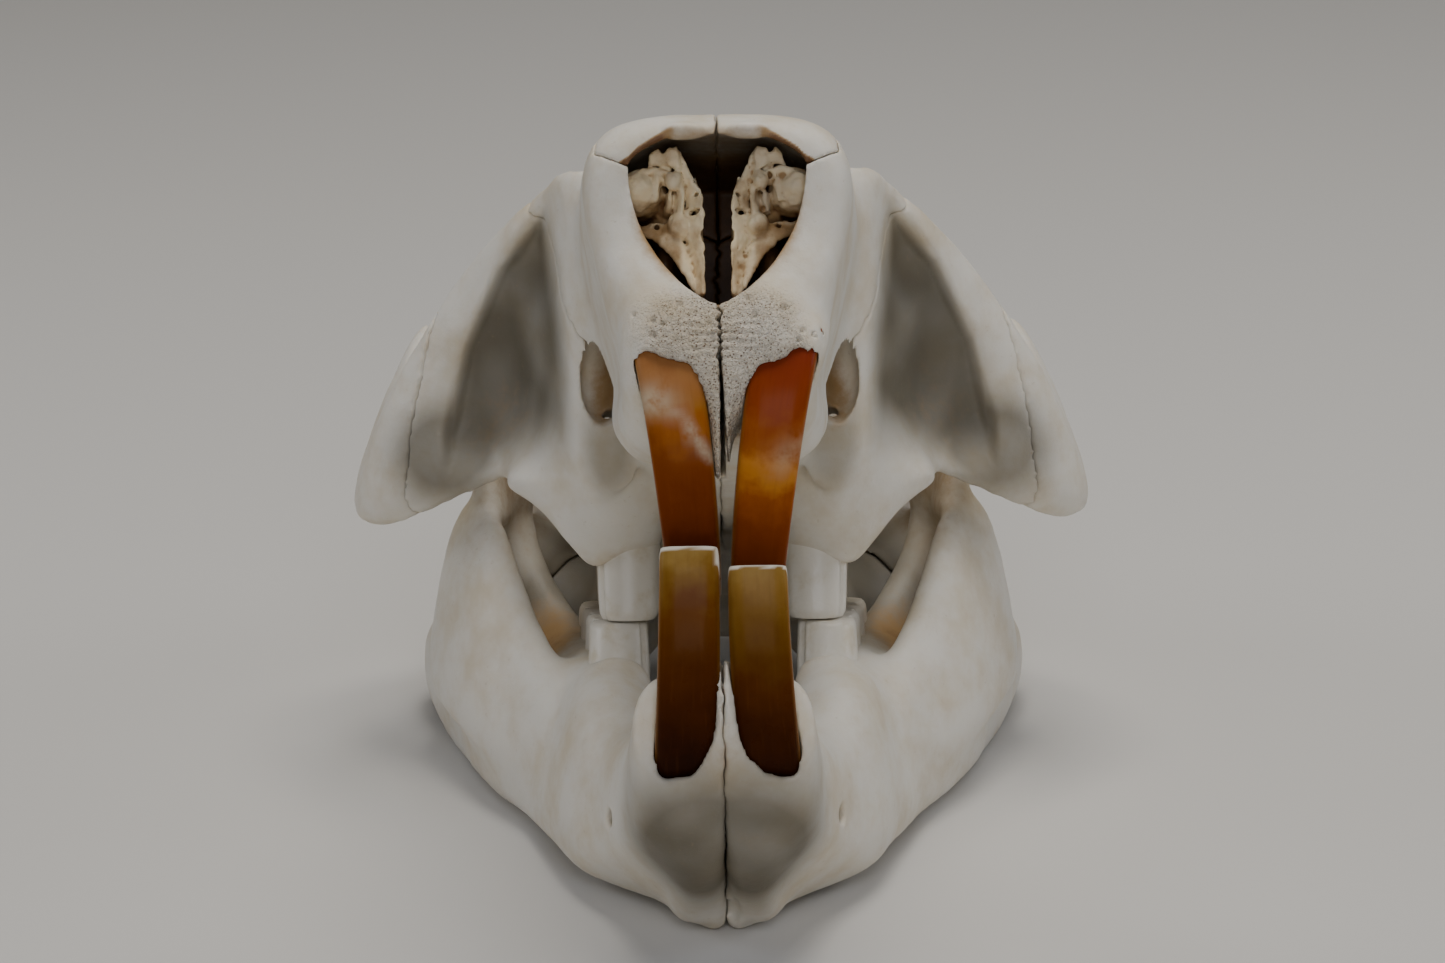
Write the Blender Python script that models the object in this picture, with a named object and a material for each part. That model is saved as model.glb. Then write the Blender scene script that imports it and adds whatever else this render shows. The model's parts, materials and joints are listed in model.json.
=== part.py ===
"""Skull of an adult beaver, life size, resting on its lower jaw.

The bones are laid out in the cranial frame, in millimetres: x to the animal's left, y backwards from the
front rim of the nose and z up, with the top of the skull level. The rest empty then tips the snout up by
REST_TILT, as the skull stands on its chin and on the two angles of the jaw, and turns the sizes to metres.

Each bone mass is made of trunks, plates and lobes. They are fused by a voxel remesh, their creases are
filled as bone fills them, pits are pressed in and holes are cut. The whole is then parted along its sutures.
"""

import math

import bpy
import numpy as np

MM = 0.001
REST_TILT = math.radians(31.0)
REST_LEVEL = -102.4
REST_BACK = -37.6
GAP = 0.3
REACH = 200.0
SIDES = ((1, "left"), (-1, "right"))

SNOUT_SUTURE = ((0, 46, 6), (0, 42, -13))
VAULT_SUTURE = ((0, 85, 0), (0, 48, 8))
NECK_SUTURE = ((0, 121.5, 2), (0, 47, -9.5))
CHEEK_SUTURE = ((37.5, 62, -6), (0.62, 0.62, 0.356))
ARCH_SUTURE = ((38.5, 96.5, -18), (-0.8, 0.6, 0))

NOSE_TOP = 3.6
VAULT_TOP = 9.8
ROSTRUM_HALF = 20.8
INTERORBITAL_HALF = 13.0
BRAINCASE_HALF = 29.0
ARCH_HALF = 50.3
JAW_HALF = 41.5
WING_HOLLOW = 4.2
KEEL_SHARE = 0.42

APERTURE_HALF = 11.3
APERTURE_DEPTH = 22.0
CAVITY_LENGTH = 38.0
CAVITY_INSET = 0.8

INCISOR_WIDTH = 8.6
INCISOR_DEPTH = 7.4
# each arc is its centre's y and z and its radius, each sweep the angles of the root and the tip in degrees
UPPER_ARC = (23.8, -33.0, 26.0)
LOWER_ARC = (34.4, -54.7, 31.8)
UPPER_SWEEP = (-20.0, 65.0)
LOWER_SWEEP = {1: (66.0, -1.8), -1: (66.0, -6.4)}
# where each incisor stands across the head at its root and tip, by side: the right ones lean in less
UPPER_ACROSS = {1: (8.7, 4.4), -1: (-6.95, -3.45)}
LOWER_ACROSS = {1: (6.5, 4.4), -1: (-5.25, -4.05)}
# share of INCISOR_WIDTH at the root and at the tip
UPPER_WIDTHS = (1.06, 0.83)
LOWER_WIDTHS = (1.04, 0.93)
UPPER_BEVEL = 20.0
LOWER_BEVEL = 22.0

BITE_FRONT_Y = 57.0
BITE_FRONT_Z = -50.5
BITE_RISE = 0.28
UPPER_ROOT = 14.0
LOWER_ROOT = 13.0
# cheek teeth from front to back: y, x, length and width
UPPER_TEETH = (
    (61.5, 12.6, 8.8, 8.6),
    (69.4, 13.2, 7.4, 7.8),
    (76.6, 13.8, 7.0, 7.2),
    (83.4, 14.2, 6.6, 6.4),
)
LOWER_TEETH = (
    (62.0, 14.0, 10.0, 8.4),
    (71.0, 14.8, 8.0, 8.2),
    (78.8, 15.8, 7.6, 7.8),
    (86.0, 16.8, 6.8, 6.8),
)

VOXEL = 0.9
SCROLL_VOXEL = 0.5
CRANIUM_TRIANGLES = 3900
DENTARY_TRIANGLES = 1160
TURBINATE_TRIANGLES = 340
SHARP_ANGLE = math.radians(40)

BONE = ("bone", (0.80, 0.77, 0.70), 0.55)
ENAMEL_UPPER = ("upper_enamel", (0.55, 0.17, 0.03), 0.30)
ENAMEL_LOWER = ("lower_enamel", (0.52, 0.28, 0.06), 0.30)
SCROLL_BONE = ("scroll_bone", (0.68, 0.58, 0.42), 0.70)


def smooth_between(keys, values, at):
    """Cubic curve through values at keys, read at the points in at."""
    keys, values = np.asarray(keys, float), np.asarray(values, float)
    if len(keys) == 2:
        slopes = np.repeat((values[1:] - values[:-1]) / (keys[1] - keys[0]), 2, axis=0)
    else:
        slopes = np.gradient(values, keys, axis=0)
    span = np.clip(np.searchsorted(keys, at, side="right") - 1, 0, len(keys) - 2)
    width = keys[span + 1] - keys[span]
    t = (at - keys[span]) / width
    if values.ndim > 1:
        t, width = t[:, None], width[:, None]
    a, b = values[span], values[span + 1]
    return (
        (2 * t**3 - 3 * t**2 + 1) * a
        + (t**3 - 2 * t**2 + t) * width * slopes[span]
        + (3 * t**2 - 2 * t**3) * b
        + (t**3 - t**2) * width * slopes[span + 1]
    )


def signed_power(value, power):
    """The power of a number's size, with the number's own sign."""
    return np.sign(value) * np.abs(value) ** power


def smoothstep(low, high, value):
    """0 below low, 1 above high, and a smooth rise between."""
    t = np.clip((value - low) / (high - low), 0, 1)
    return t * t * (3 - 2 * t)


def closed_rings(rings):
    """Surface through rings of points, shape (rings, around, 3), with a fan at each end."""
    count, around, _ = rings.shape
    points = np.vstack([rings.reshape(-1, 3), rings[0].mean(0), rings[-1].mean(0)])
    ring, step = np.meshgrid(np.arange(count - 1), np.arange(around), indexing="ij")
    a = (ring * around + step).ravel()
    b = (ring * around + (step + 1) % around).ravel()
    faces = [tuple(quad) for quad in np.stack([a, b, b + around, a + around], 1).tolist()]
    first, last = count * around, count * around + 1
    end = (count - 1) * around
    for i in range(around):
        j = (i + 1) % around
        faces.append((first, j, i))
        faces.append((last, end + i, end + j))
    return points, faces


def facing_out(points, faces):
    """The shape with its faces turned outwards, judged by its signed volume."""
    volume = sum(
        np.dot(points[f[0]], np.cross(points[f[i]], points[f[i + 1]]))
        for f in faces
        for i in range(1, len(f) - 1)
    )
    return points, faces if volume > 0 else [tuple(reversed(f)) for f in faces]


def trunk(sections, around=40, step=1.5):
    """Body along y. A section is (y, top, bottom, half width at the top, middle and bottom, squareness)."""
    keys = np.array([s[0] for s in sections], float)
    along = np.linspace(keys[0], keys[-1], max(4, int((keys[-1] - keys[0]) / step)))
    along = np.unique(np.concatenate([along, keys]))
    top, bottom, wide_top, wide_mid, wide_low, square = smooth_between(
        keys, [s[1:] for s in sections], along
    ).T[:, :, None]
    angle = np.linspace(0, 2 * np.pi, around, endpoint=False)[None, :]
    level = signed_power(np.sin(angle), 2 / square)
    half = wide_mid + level * (wide_top - wide_low) / 2 + level**2 * ((wide_top + wide_low) / 2 - wide_mid)
    rings = np.empty((len(along), around, 3))
    rings[..., 0] = half * signed_power(np.cos(angle), 2 / square)
    rings[..., 1] = along[:, None]
    rings[..., 2] = (top + bottom) / 2 + level * (top - bottom) / 2
    return facing_out(*closed_rings(rings))


def plate(edge_a, edge_b, halves, square=2.3, around=24, step=1.4):
    """Plate of bone between two edge curves, with its half thickness at each pair of points."""
    edge_a, edge_b = np.asarray(edge_a, float), np.asarray(edge_b, float)
    middle = (edge_a + edge_b) / 2
    keys = np.concatenate([[0], np.cumsum(np.linalg.norm(np.diff(middle, axis=0), axis=1))])
    along = np.unique(np.concatenate([np.linspace(0, keys[-1], max(5, int(keys[-1] / step))), keys]))
    a, b = smooth_between(keys, edge_a, along), smooth_between(keys, edge_b, along)
    half = smooth_between(keys, np.asarray(halves, float), along)
    centre, rise = (a + b) / 2, (a - b) / 2
    travel = np.gradient(centre, along, axis=0)
    normal = np.cross(travel, rise)
    normal *= (half / np.linalg.norm(normal, axis=1))[:, None]
    angle = np.linspace(0, 2 * np.pi, around, endpoint=False)
    up = signed_power(np.cos(angle), 2 / square)[None, :, None]
    out = signed_power(np.sin(angle), 2 / square)[None, :, None]
    rings = centre[:, None] + rise[:, None] * up + normal[:, None] * out
    return facing_out(*closed_rings(rings))


def lobe(centre, radii, spin=0.0, lean=0.0, rows=10, around=14):
    """Ellipsoid, leaned about x and spun about z, in degrees."""
    polar = np.linspace(0, np.pi, rows)[1:-1, None]
    turn = np.linspace(0, 2 * np.pi, around, endpoint=False)[None, :]
    rings = np.stack(
        [np.sin(polar) * np.cos(turn), np.sin(polar) * np.sin(turn), np.cos(polar) + 0 * turn], axis=-1
    ) * np.asarray(radii, float)
    cx, sx = math.cos(math.radians(lean)), math.sin(math.radians(lean))
    cz, sz = math.cos(math.radians(spin)), math.sin(math.radians(spin))
    tilt = np.array([[1, 0, 0], [0, cx, -sx], [0, sx, cx]])
    swing = np.array([[cz, -sz, 0], [sz, cz, 0], [0, 0, 1]])
    return facing_out(*closed_rings(rings @ (swing @ tilt).T + np.asarray(centre, float)))


def rod(points, radii, around=16, step=1.2):
    """Round bar through the points."""
    points = np.asarray(points, float)
    keys = np.concatenate([[0], np.cumsum(np.linalg.norm(np.diff(points, axis=0), axis=1))])
    along = np.unique(np.concatenate([np.linspace(0, keys[-1], max(4, int(keys[-1] / step))), keys]))
    centre = smooth_between(keys, points, along)
    radius = smooth_between(keys, np.asarray(radii, float), along)[:, None]
    travel = np.gradient(centre, along, axis=0)
    travel /= np.linalg.norm(travel, axis=1)[:, None]
    guide = np.array([0.0, 0.0, 1.0]) if abs(travel[0, 2]) < 0.8 else np.array([0.0, 1.0, 0.0])
    side = np.cross(travel, guide)
    side /= np.linalg.norm(side, axis=1)[:, None]
    rise = np.cross(side, travel)
    angle = np.linspace(0, 2 * np.pi, around, endpoint=False)
    circle = side[:, None] * np.cos(angle)[None, :, None] + rise[:, None] * np.sin(angle)[None, :, None]
    return facing_out(*closed_rings(centre[:, None] + radius[:, None] * circle))


def other_side(shape):
    """The shape mirrored across the middle plane."""
    points, faces = shape
    return points * np.array([-1.0, 1.0, 1.0]), [tuple(reversed(f)) for f in faces]


def both_sides(shapes):
    """The shapes and their mirror images."""
    return shapes + [other_side(shape) for shape in shapes]


def mesh_of(name, shapes):
    """One mesh that holds every shape, still in millimetres."""
    points, faces, start = [], [], 0
    for shape_points, shape_faces in shapes:
        points.append(shape_points)
        faces += [tuple(i + start for i in f) for f in shape_faces]
        start += len(shape_points)
    mesh = bpy.data.meshes.new(name)
    mesh.from_pydata(np.vstack(points).tolist(), [], faces)
    return mesh


def helper_object(name, mesh):
    """Object that the model is made with but that isn't part of it."""
    obj = bpy.data.objects.new(name, mesh)
    bpy.context.scene.collection.objects.link(obj)
    obj.hide_render = True
    obj.display_type = "WIRE"
    return obj


def applied(obj):
    """The object's mesh after its modifiers, which are then removed."""
    graph = bpy.context.evaluated_depsgraph_get()
    mesh = bpy.data.meshes.new_from_object(obj.evaluated_get(graph))
    obj.modifiers.clear()
    obj.data = mesh
    return mesh


def joined(name, shapes):
    """One closed body made of all the shapes."""
    obj = helper_object(name, mesh_of(name, shapes[:1]))
    add_to(obj, shapes[1:])
    return obj


def skinned(obj, voxel=VOXEL):
    """Gives the body one even skin."""
    remesh = obj.modifiers.new("skin", "REMESH")
    remesh.mode = "VOXEL"
    remesh.voxel_size = voxel
    applied(obj)
    return obj


def read_points(mesh):
    """The mesh's points as an array of x, y and z."""
    points = np.empty(len(mesh.vertices) * 3, np.float64)
    mesh.vertices.foreach_get("co", points)
    return points.reshape(-1, 3)


def write_points(mesh, points):
    """Moves the mesh's points to these places."""
    mesh.vertices.foreach_set("co", points.ravel())
    mesh.update()


def read_edges(mesh):
    """The two point numbers of each edge."""
    edges = np.empty(len(mesh.edges) * 2, np.int64)
    mesh.edges.foreach_get("vertices", edges)
    return edges.reshape(-1, 2)


def vertex_normals(mesh):
    """The outward direction at each point."""
    normals = np.empty(len(mesh.vertices) * 3, np.float64)
    mesh.vertex_normals.foreach_get("vector", normals)
    return normals.reshape(-1, 3)


def neighbour_mean(points, edges):
    """The mean of each point's neighbours."""
    ends = np.concatenate([edges, edges[:, ::-1]])
    count = np.bincount(ends[:, 0], minlength=len(points))
    total = np.stack(
        [np.bincount(ends[:, 0], points[ends[:, 1], k], minlength=len(points)) for k in range(3)], 1
    )
    return total / np.maximum(count, 1)[:, None]


def heal_creases(obj, rounds, evenly):
    """Fills concave creases as bone does where two masses meet, then smooths evenly."""
    mesh = obj.data
    edges = read_edges(mesh)
    points = read_points(mesh)
    for _ in range(rounds):
        write_points(mesh, points)
        normals = vertex_normals(mesh)
        pull = neighbour_mean(points, edges) - points
        hollow = np.clip((pull * normals).sum(1), 0, None)
        points = points + 0.9 * hollow[:, None] * normals
    for _ in range(evenly):
        points += 0.5 * (neighbour_mean(points, edges) - points)
    write_points(mesh, points)


def press(points, centre, radii, push):
    """Moves points near the centre by push, fading smoothly to nothing at the radii."""
    reach = ((points - np.asarray(centre)) / np.asarray(radii)) ** 2
    weight = np.clip(1 - reach.sum(1), 0, None) ** 2
    return points + weight[:, None] * np.asarray(push, float)


def press_both(points, centre, radii, push):
    """The same press on the left and the right side."""
    flip = np.array([-1.0, 1.0, 1.0])
    points = press(points, centre, radii, push)
    return press(points, np.asarray(centre) * flip, radii, np.asarray(push) * flip)


def boolean(obj, other, operation):
    """Joins, cuts or clips the object by the other one."""
    modifier = obj.modifiers.new(operation.lower(), "BOOLEAN")
    modifier.operation = operation
    modifier.solver = "EXACT"
    modifier.object = other
    applied(obj)


def cut(obj, shapes):
    """Cuts each shape out of the object."""
    for number, shape in enumerate(shapes):
        cutter = helper_object(f"cutter_{number}", mesh_of("cutter", [shape]))
        boolean(obj, cutter, "DIFFERENCE")
        bpy.data.objects.remove(cutter)


def slimmed(obj, triangles):
    """The object with its flatter faces merged down to about this many triangles."""
    obj.modifiers.new("triangles", "TRIANGULATE")
    applied(obj)
    decimate = obj.modifiers.new("slim", "DECIMATE")
    decimate.ratio = min(1.0, triangles / max(1, len(obj.data.polygons)))
    decimate.use_collapse_triangulate = True
    applied(obj)


def largest_body(obj):
    """Drops every loose scrap but the body with the largest volume."""
    mesh = obj.data
    label = np.arange(len(mesh.vertices))
    edges = read_edges(mesh)
    while True:
        low = np.minimum(label[edges[:, 0]], label[edges[:, 1]])
        before = label.copy()
        np.minimum.at(label, edges[:, 0], low)
        np.minimum.at(label, edges[:, 1], low)
        label = label[label]
        if (label == before).all():
            break
    points = read_points(mesh)
    faces = [tuple(p.vertices) for p in mesh.polygons]
    volume = {}
    for f in faces:
        for i in range(1, len(f) - 1):
            amount = np.dot(points[f[0]], np.cross(points[f[i]], points[f[i + 1]]))
            volume[label[f[0]]] = volume.get(label[f[0]], 0.0) + amount
    keep = max(volume, key=volume.get)
    kept = np.flatnonzero(label == keep)
    index = {int(v): i for i, v in enumerate(kept)}
    fresh = bpy.data.meshes.new(mesh.name)
    fresh.from_pydata(
        points[kept].tolist(), [], [tuple(index[v] for v in f) for f in faces if label[f[0]] == keep]
    )
    obj.data = fresh


def bite_level(y):
    """Height of the plane where the cheek teeth meet."""
    return BITE_FRONT_Z + BITE_RISE * (y - BITE_FRONT_Y)


def cheek_tooth(y, x, length, width, root_z, crown_z):
    """Tooth column from its root in the bone to its worn top, which follows the bite plane."""
    around, square = 12, 2.6
    angle = np.linspace(0, 2 * np.pi, around, endpoint=False)
    side = width / 2 * signed_power(np.cos(angle), 2 / square)
    fore = length / 2 * signed_power(np.sin(angle), 2 / square)
    rings = np.empty((2, around, 3))
    rings[:, :, 0] = x + side
    rings[:, :, 1] = y + fore
    rings[0, :, 2] = root_z
    rings[1, :, 2] = crown_z + BITE_RISE * fore
    return facing_out(*closed_rings(rings))


def upper_teeth():
    """The row of cheek teeth in the left upper jaw."""
    return [
        cheek_tooth(y, x, length, width, bite_level(y) + UPPER_ROOT, bite_level(y) + GAP / 2)
        for y, x, length, width in UPPER_TEETH
    ]


def lower_teeth():
    """The row of cheek teeth in the left half of the lower jaw."""
    return [
        cheek_tooth(y, x, length, width, bite_level(y) - LOWER_ROOT, bite_level(y) - GAP / 2)
        for y, x, length, width in LOWER_TEETH
    ]


def cranium_shapes():
    """The masses of bone above the jaw."""
    body = trunk(
        (
            (-0.7, NOSE_TOP - 2.6, -23.2, 11.2, 10.8, 7.4, 3.0),
            (-0.1, NOSE_TOP - 1.5, -25.6, 13.4, 12.8, 8.6, 3.3),
            (1.2, NOSE_TOP - 0.4, -28.0, 16.0, 14.2, 9.6, 3.5),
            (3.0, NOSE_TOP + 0.5, -30.4, 17.6, 15.0, 10.4, 3.6),
            (5.5, NOSE_TOP + 1.3, -32.6, 18.8, 15.4, 11.0, 3.6),
            (10.0, NOSE_TOP + 2.2, -35.0, 19.8, 15.4, 11.0, 3.5),
            (20.0, 7.2, -37.0, ROSTRUM_HALF, 15.8, 10.8, 3.3),
            (32.0, 8.6, -36.5, 21.4, 16.4, 10.8, 3.0),
            (44.0, 9.5, -35.5, 20.6, 16.6, 12.5, 2.8),
            (56.0, VAULT_TOP, -36.0, 16.0, 13.0, 14.5, 2.5),
            (67.0, VAULT_TOP - 0.2, -36.0, INTERORBITAL_HALF, 10.0, 15.0, 2.5),
            (78.0, VAULT_TOP - 0.8, -34.0, 14.0, 12.0, 12.5, 2.4),
            (89.0, VAULT_TOP - 2.0, -33.5, 20.0, 22.0, 12.0, 2.3),
            (101.0, 5.8, -37.5, 24.0, 27.5, 15.0, 2.3),
            (112.0, 3.2, -40.0, 26.0, BRAINCASE_HALF, 19.0, 2.4),
            (121.0, -0.8, -41.0, 26.0, BRAINCASE_HALF, 19.0, 2.4),
            (126.5, -7.0, -40.0, 22.0, 26.0, 17.0, 2.3),
        )
    )
    sides = [
        # front root of the cheek arch: the wing between its upper and lower edges
        plate(
            (
                (13, 31, 4),
                (18.5, 34.5, 6.2),
                (21.5, 39.5, 6.6),
                (26, 47, 4.7),
                (32.5, 56, 0.4),
                (38.8, 62.7, -6.4),
                (43.9, 68.3, -13.5),
                (47.4, 73.3, -20.3),
            ),
            (
                (12, 46, -34),
                (17, 52, -35.5),
                (22, 56, -33),
                (27.5, 59.8, -29.8),
                (33, 65, -30.5),
                (39.5, 70.8, -32.2),
                (44.5, 75, -33.2),
                (47.5, 77.5, -33.4),
            ),
            (3.2, 3.3, 3.2, 2.9, 2.7, 2.7, 2.7, 2.4),
        ),
        # cheekbone, with the point behind the eye on its upper edge
        plate(
            (
                (39, 64, -8.5),
                (42, 70, -12.5),
                (42, 76.5, -10),
                (40.5, 81.5, -2.8),
                (42, 87, -9.8),
                (39.5, 94, -14.2),
                (34, 99, -15.2),
            ),
            (
                (44, 71, -32),
                (49, 76.5, -32.8),
                (ARCH_HALF, 80.5, -31),
                (ARCH_HALF - 0.6, 85.5, -29),
                (47.5, 91, -27),
                (41.5, 97, -24.6),
                (35, 101, -23.5),
            ),
            (2.6, 2.7, 2.5, 2.4, 2.4, 2.6, 3.0),
        ),
        # back root of the arch, over the jaw joint
        plate(
            ((18, 90, -13), (27, 91.5, -15), (35, 94, -16), (39, 95, -18)),
            ((18, 104, -17), (27, 104, -19), (34, 103, -20), (38, 100, -21)),
            (4.0, 3.2, 2.8, 2.2),
        ),
        # bone that holds the roots of the cheek teeth
        plate(
            ((13, 50, -30), (14, 58, -28), (15, 70, -26), (15, 82, -26), (13, 90, -29)),
            ((12, 52, -38), (12.6, 59, -41.5), (13.2, 70, -39), (13.8, 82, -36), (13, 89, -34)),
            (4.5, 5.6, 5.4, 4.8, 3.0),
            square=2.8,
        ),
        # lower root of the wing, running down to the first cheek tooth
        rod(((27, 59, -28), (21, 58, -32), (17.5, 58, -37), (15, 60, -41)), (4.0, 4.6, 4.2, 3.4)),
        # ear capsule, ear tube and the spurs beside them
        lobe((16.5, 108, -39), (9.0, 11.5, 9.5), spin=-18),
        rod(((20, 108, -36), (27, 107, -31.5), (33.5, 106, -26)), (5.4, 4.8, 4.3)),
        rod(((20, 117, -34), (20.5, 120, -39), (20.0, 121, -43)), (4.6, 3.2, 1.8)),
        lobe((26.5, 117, -27), (5.5, 6.5, 11.0)),
        # wing plates behind the palate
        plate(
            ((6, 82, -30), (6.5, 92, -30), (8, 101, -32)),
            ((5.6, 86, -40), (6.2, 94, -43), (8, 101, -42)),
            (1.6, 1.3, 1.6),
        ),
        # joint knobs on either side of the spinal opening
        lobe((8.2, 128.5, -31.5), (4.6, 5.6, 7.4), spin=25, lean=-18),
        # ridge over the back of the skull, from the ear to the crown
        rod(
            ((28, 116, -25), (26.5, 120.5, -13), (20.5, 121.5, -5.5), (10, 122, -2.0), (-3, 122, -1.2)),
            (2.6, 2.8, 2.8, 2.8, 3.0),
        ),
        # low ridges that close on the crown
        rod(
            ((9, 66, 2.5), (11, 80, 4.2), (7, 98, 3.6), (2.5, 110, 1.8), (0, 122, -2.6)),
            (1.6, 2.2, 2.4, 2.4, 2.6),
        ),
        # bone sheath of the upper incisor
        rod(
            ((6.2, 4.0, -21), (6.2, 3.0, -26.4), (6.4, 7.0, -30.6), (7.4, 20, -31), (8.5, 32, -28)),
            (5.4, 6.3, 5.9, 6.0, 5.8),
        ),
    ]
    # blade of bone between the incisors
    blade = plate(
        ((0, 6, -22), (0, 8, -29), (0, 9, -35), (0, 10, -42)),
        ((0, -2.2, -23), (0, -3.0, -29), (0, -2.2, -35), (0, 0.4, -43)),
        (4.6, 4.4, 1.9, 0.9),
        square=2.6,
    )
    base = trunk(
        (
            (92, -28, -35.5, 8, 8, 6, 2.4),
            (104, -26, -38.5, 9, 9, 8, 2.4),
            (116, -24, -40.0, 10, 12, 10, 2.4),
            (126, -22, -39.0, 12, 14, 12, 2.4),
            (130, -24, -37.0, 9, 11, 9, 2.2),
        )
    )
    return [body, blade, base] + both_sides(sides)


def aperture_half(share):
    """Half width of the nose opening at this share of the way down."""
    return APERTURE_HALF * (1 - np.clip(share, 0, 1) ** 2.6) ** 0.75


def nose_cavity(inset=0.0):
    """The hollow behind the nose opening, drawn in from its walls by the inset."""
    share = np.concatenate([[0.0, 0.0, 0.05, 0.1, 0.15], np.linspace(0.2, 0.97, 10), [1.0]])
    half = aperture_half(share)
    # the roof is narrower than the opening below it
    half[:5] = (0.0, 5.6, 8.0, 9.9, 11.05)
    side = np.concatenate([half, -half[-2:0:-1]])
    down = np.concatenate([share, share[-2:0:-1]])
    # the sections along y: width, height of the roof and depth
    reach = (-8.0, 3.0, 12.0, 26.0, CAVITY_LENGTH)
    wider = (1.0, 1.0, 1.08, 1.0, 0.72)
    ceiling = (0.9, 1.1, 2.9, 4.4, 3.6)
    deeper = (1.0, 1.0, 1.0, 0.98, 0.8)
    rings = np.empty((len(reach), len(side), 3))
    for i in range(len(reach)):
        rings[i, :, 0] = side * wider[i] * (1 - inset / APERTURE_HALF)
        rings[i, :, 1] = reach[i] - inset
        rings[i, :, 2] = ceiling[i] - inset - down * (APERTURE_DEPTH * deeper[i] - 2 * inset)
    return facing_out(*closed_rings(rings))


def incisor(arc, roots, sweep, bevel, widths, grow):
    """Incisor: a D section carried along an arc in the y-z plane, from the root's angle to the tip's.

    The angle is measured from straight forward, positive downwards. Each ring leans a little further than
    the one before, so that the last one is the worn chisel face, which ends bevel degrees short on the
    inner side. The tooth closes in on the middle plane fast near its root and runs straight at its tip."""
    centre_y, centre_z, radius = arc
    start, end = sweep
    around, count = 16, 12
    turn = np.linspace(0, 2 * np.pi, around, endpoint=False)
    across = signed_power(np.cos(turn), 2 / 4.6)[None, :]
    inward = (1 - signed_power(np.sin(turn), 2 / 4.0))[None, :] / 2
    share = np.linspace(0, 1, count)[:, None]
    worn = bevel * np.clip(inward - 0.1, 0, None) / 0.9
    angle = np.radians(start + math.copysign(1, end - start) * share * (abs(end - start) - worn))
    reach = radius + grow - inward * (INCISOR_DEPTH + 2 * grow)
    half = INCISOR_WIDTH / 2 * (widths[0] + (widths[1] - widths[0]) * share) + grow
    middle = roots[1] + (roots[0] - roots[1]) * (1 - share) ** 1.6
    rings = np.empty((count, around, 3))
    rings[..., 0] = middle + across * (1 - 0.22 * inward) * half
    rings[..., 1] = centre_y - reach * np.cos(angle)
    rings[..., 2] = centre_z - reach * np.sin(angle)
    return facing_out(*closed_rings(rings))


def upper_incisor(side, grow=0.0):
    """Upper incisor. Side is 1 for the animal's left and -1 for its right."""
    return incisor(UPPER_ARC, UPPER_ACROSS[side], UPPER_SWEEP, UPPER_BEVEL, UPPER_WIDTHS, grow)


def lower_incisor(side, grow=0.0):
    """Lower incisor, in front of the upper one's tip. The right one stands higher."""
    return incisor(LOWER_ARC, LOWER_ACROSS[side], LOWER_SWEEP[side], LOWER_BEVEL, LOWER_WIDTHS, grow)


def wing_share(points):
    """1 in the three-cornered hollow on the front of the wing, 0 past its edges, seen from the front."""
    level = points[:, 2]
    outer = np.interp(level, (-32, -22.3, -11.6, -2.7, 3.5, 5.5), (38.5, 37.8, 34.7, 29.6, 23.0, 20.0))
    inner = np.interp(level, (-32, -24.4, -13.6, -6.6, 0.5, 5.5), (18.6, 19.4, 20.0, 20.7, 21.8, 22.8))
    across = np.abs(points[:, 0])
    inside = smoothstep(-0.3, 2.4, outer - across) * smoothstep(-0.5, 2.6, across - inner)
    depth = smoothstep(28, 33, points[:, 1]) * smoothstep(78, 68, points[:, 1])
    return inside * depth * smoothstep(-33, -20, level)


def make_cranium():
    """The whole upper skull as one skin, with its hollows, before it is parted."""
    cranium = skinned(joined("cranium", cranium_shapes()))
    heal_creases(cranium, rounds=26, evenly=4)
    points = read_points(cranium.data)
    # the front rim is notched back at the sides of the nose opening
    points = press(points, (0, 0, -10), (30, 9, 13), (0, 3.2, 0))
    # hollow front of the wing, where the chewing muscle starts
    points = press_both(points, (23.5, 42, -2), (5.5, 11, 10), (-0.6, 3.4, -0.8))
    points = press_both(points, (25.5, 49, -13), (8.5, 15, 15), (0.4, 5.6, 0))
    points = press_both(points, (31, 56, -21), (11, 15, 13), (0, 4.6, 0))
    points[:, 1] += WING_HOLLOW * wing_share(points)
    # groove that runs down from the nerve hole beside the snout
    points = press_both(points, (13.6, 43, -31), (3.4, 10, 8), (-0.8, 2.2, 0))
    # hollow sides of the frontal bones and the pit under the skull
    points = press_both(points, (12, 70, -6), (9, 16, 12), (-2.0, 0, 0))
    points = press(points, (0, 112, -41), (8, 10, 8), (0, 0, 6.0))
    # concave back of the skull
    points = press_both(points, (13, 128, -14), (11, 9, 10), (0, -2.4, 0))
    write_points(cranium.data, points)
    slimmed(cranium, CRANIUM_TRIANGLES)
    openings = [nose_cavity()]
    openings += both_sides(
        [
            lobe((14.9, 40.6, -19.4), (3.0, 7.0, 8.6), spin=-20, lean=-16),
            rod(((39, 105, -21.5), (30, 106.5, -29), (21, 108, -35)), (2.7, 2.6, 2.2)),
        ]
    )
    openings.append(lobe((0, 128, -28.5), (8.0, 22.0, 7.0), lean=-8))
    cut(cranium, openings)
    return cranium


def behind(point, normal, grow=0.0):
    """Everything past the plane through the point, on the side its normal points to."""
    normal = np.asarray(normal, float) / np.linalg.norm(normal)
    guide = np.array([1.0, 0.0, 0.0]) if abs(normal[0]) < 0.7 else np.array([0.0, 1.0, 0.0])
    side = np.cross(normal, guide)
    side /= np.linalg.norm(side)
    rise = np.cross(normal, side)
    corners, faces = block((-REACH, -REACH, -grow), (REACH, REACH, REACH))
    return facing_out(corners @ np.stack([side, rise, normal]) + np.asarray(point, float), faces)


def before(point, normal, grow=0.0):
    """Everything short of the plane."""
    return behind(point, -np.asarray(normal, float), grow)


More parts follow.
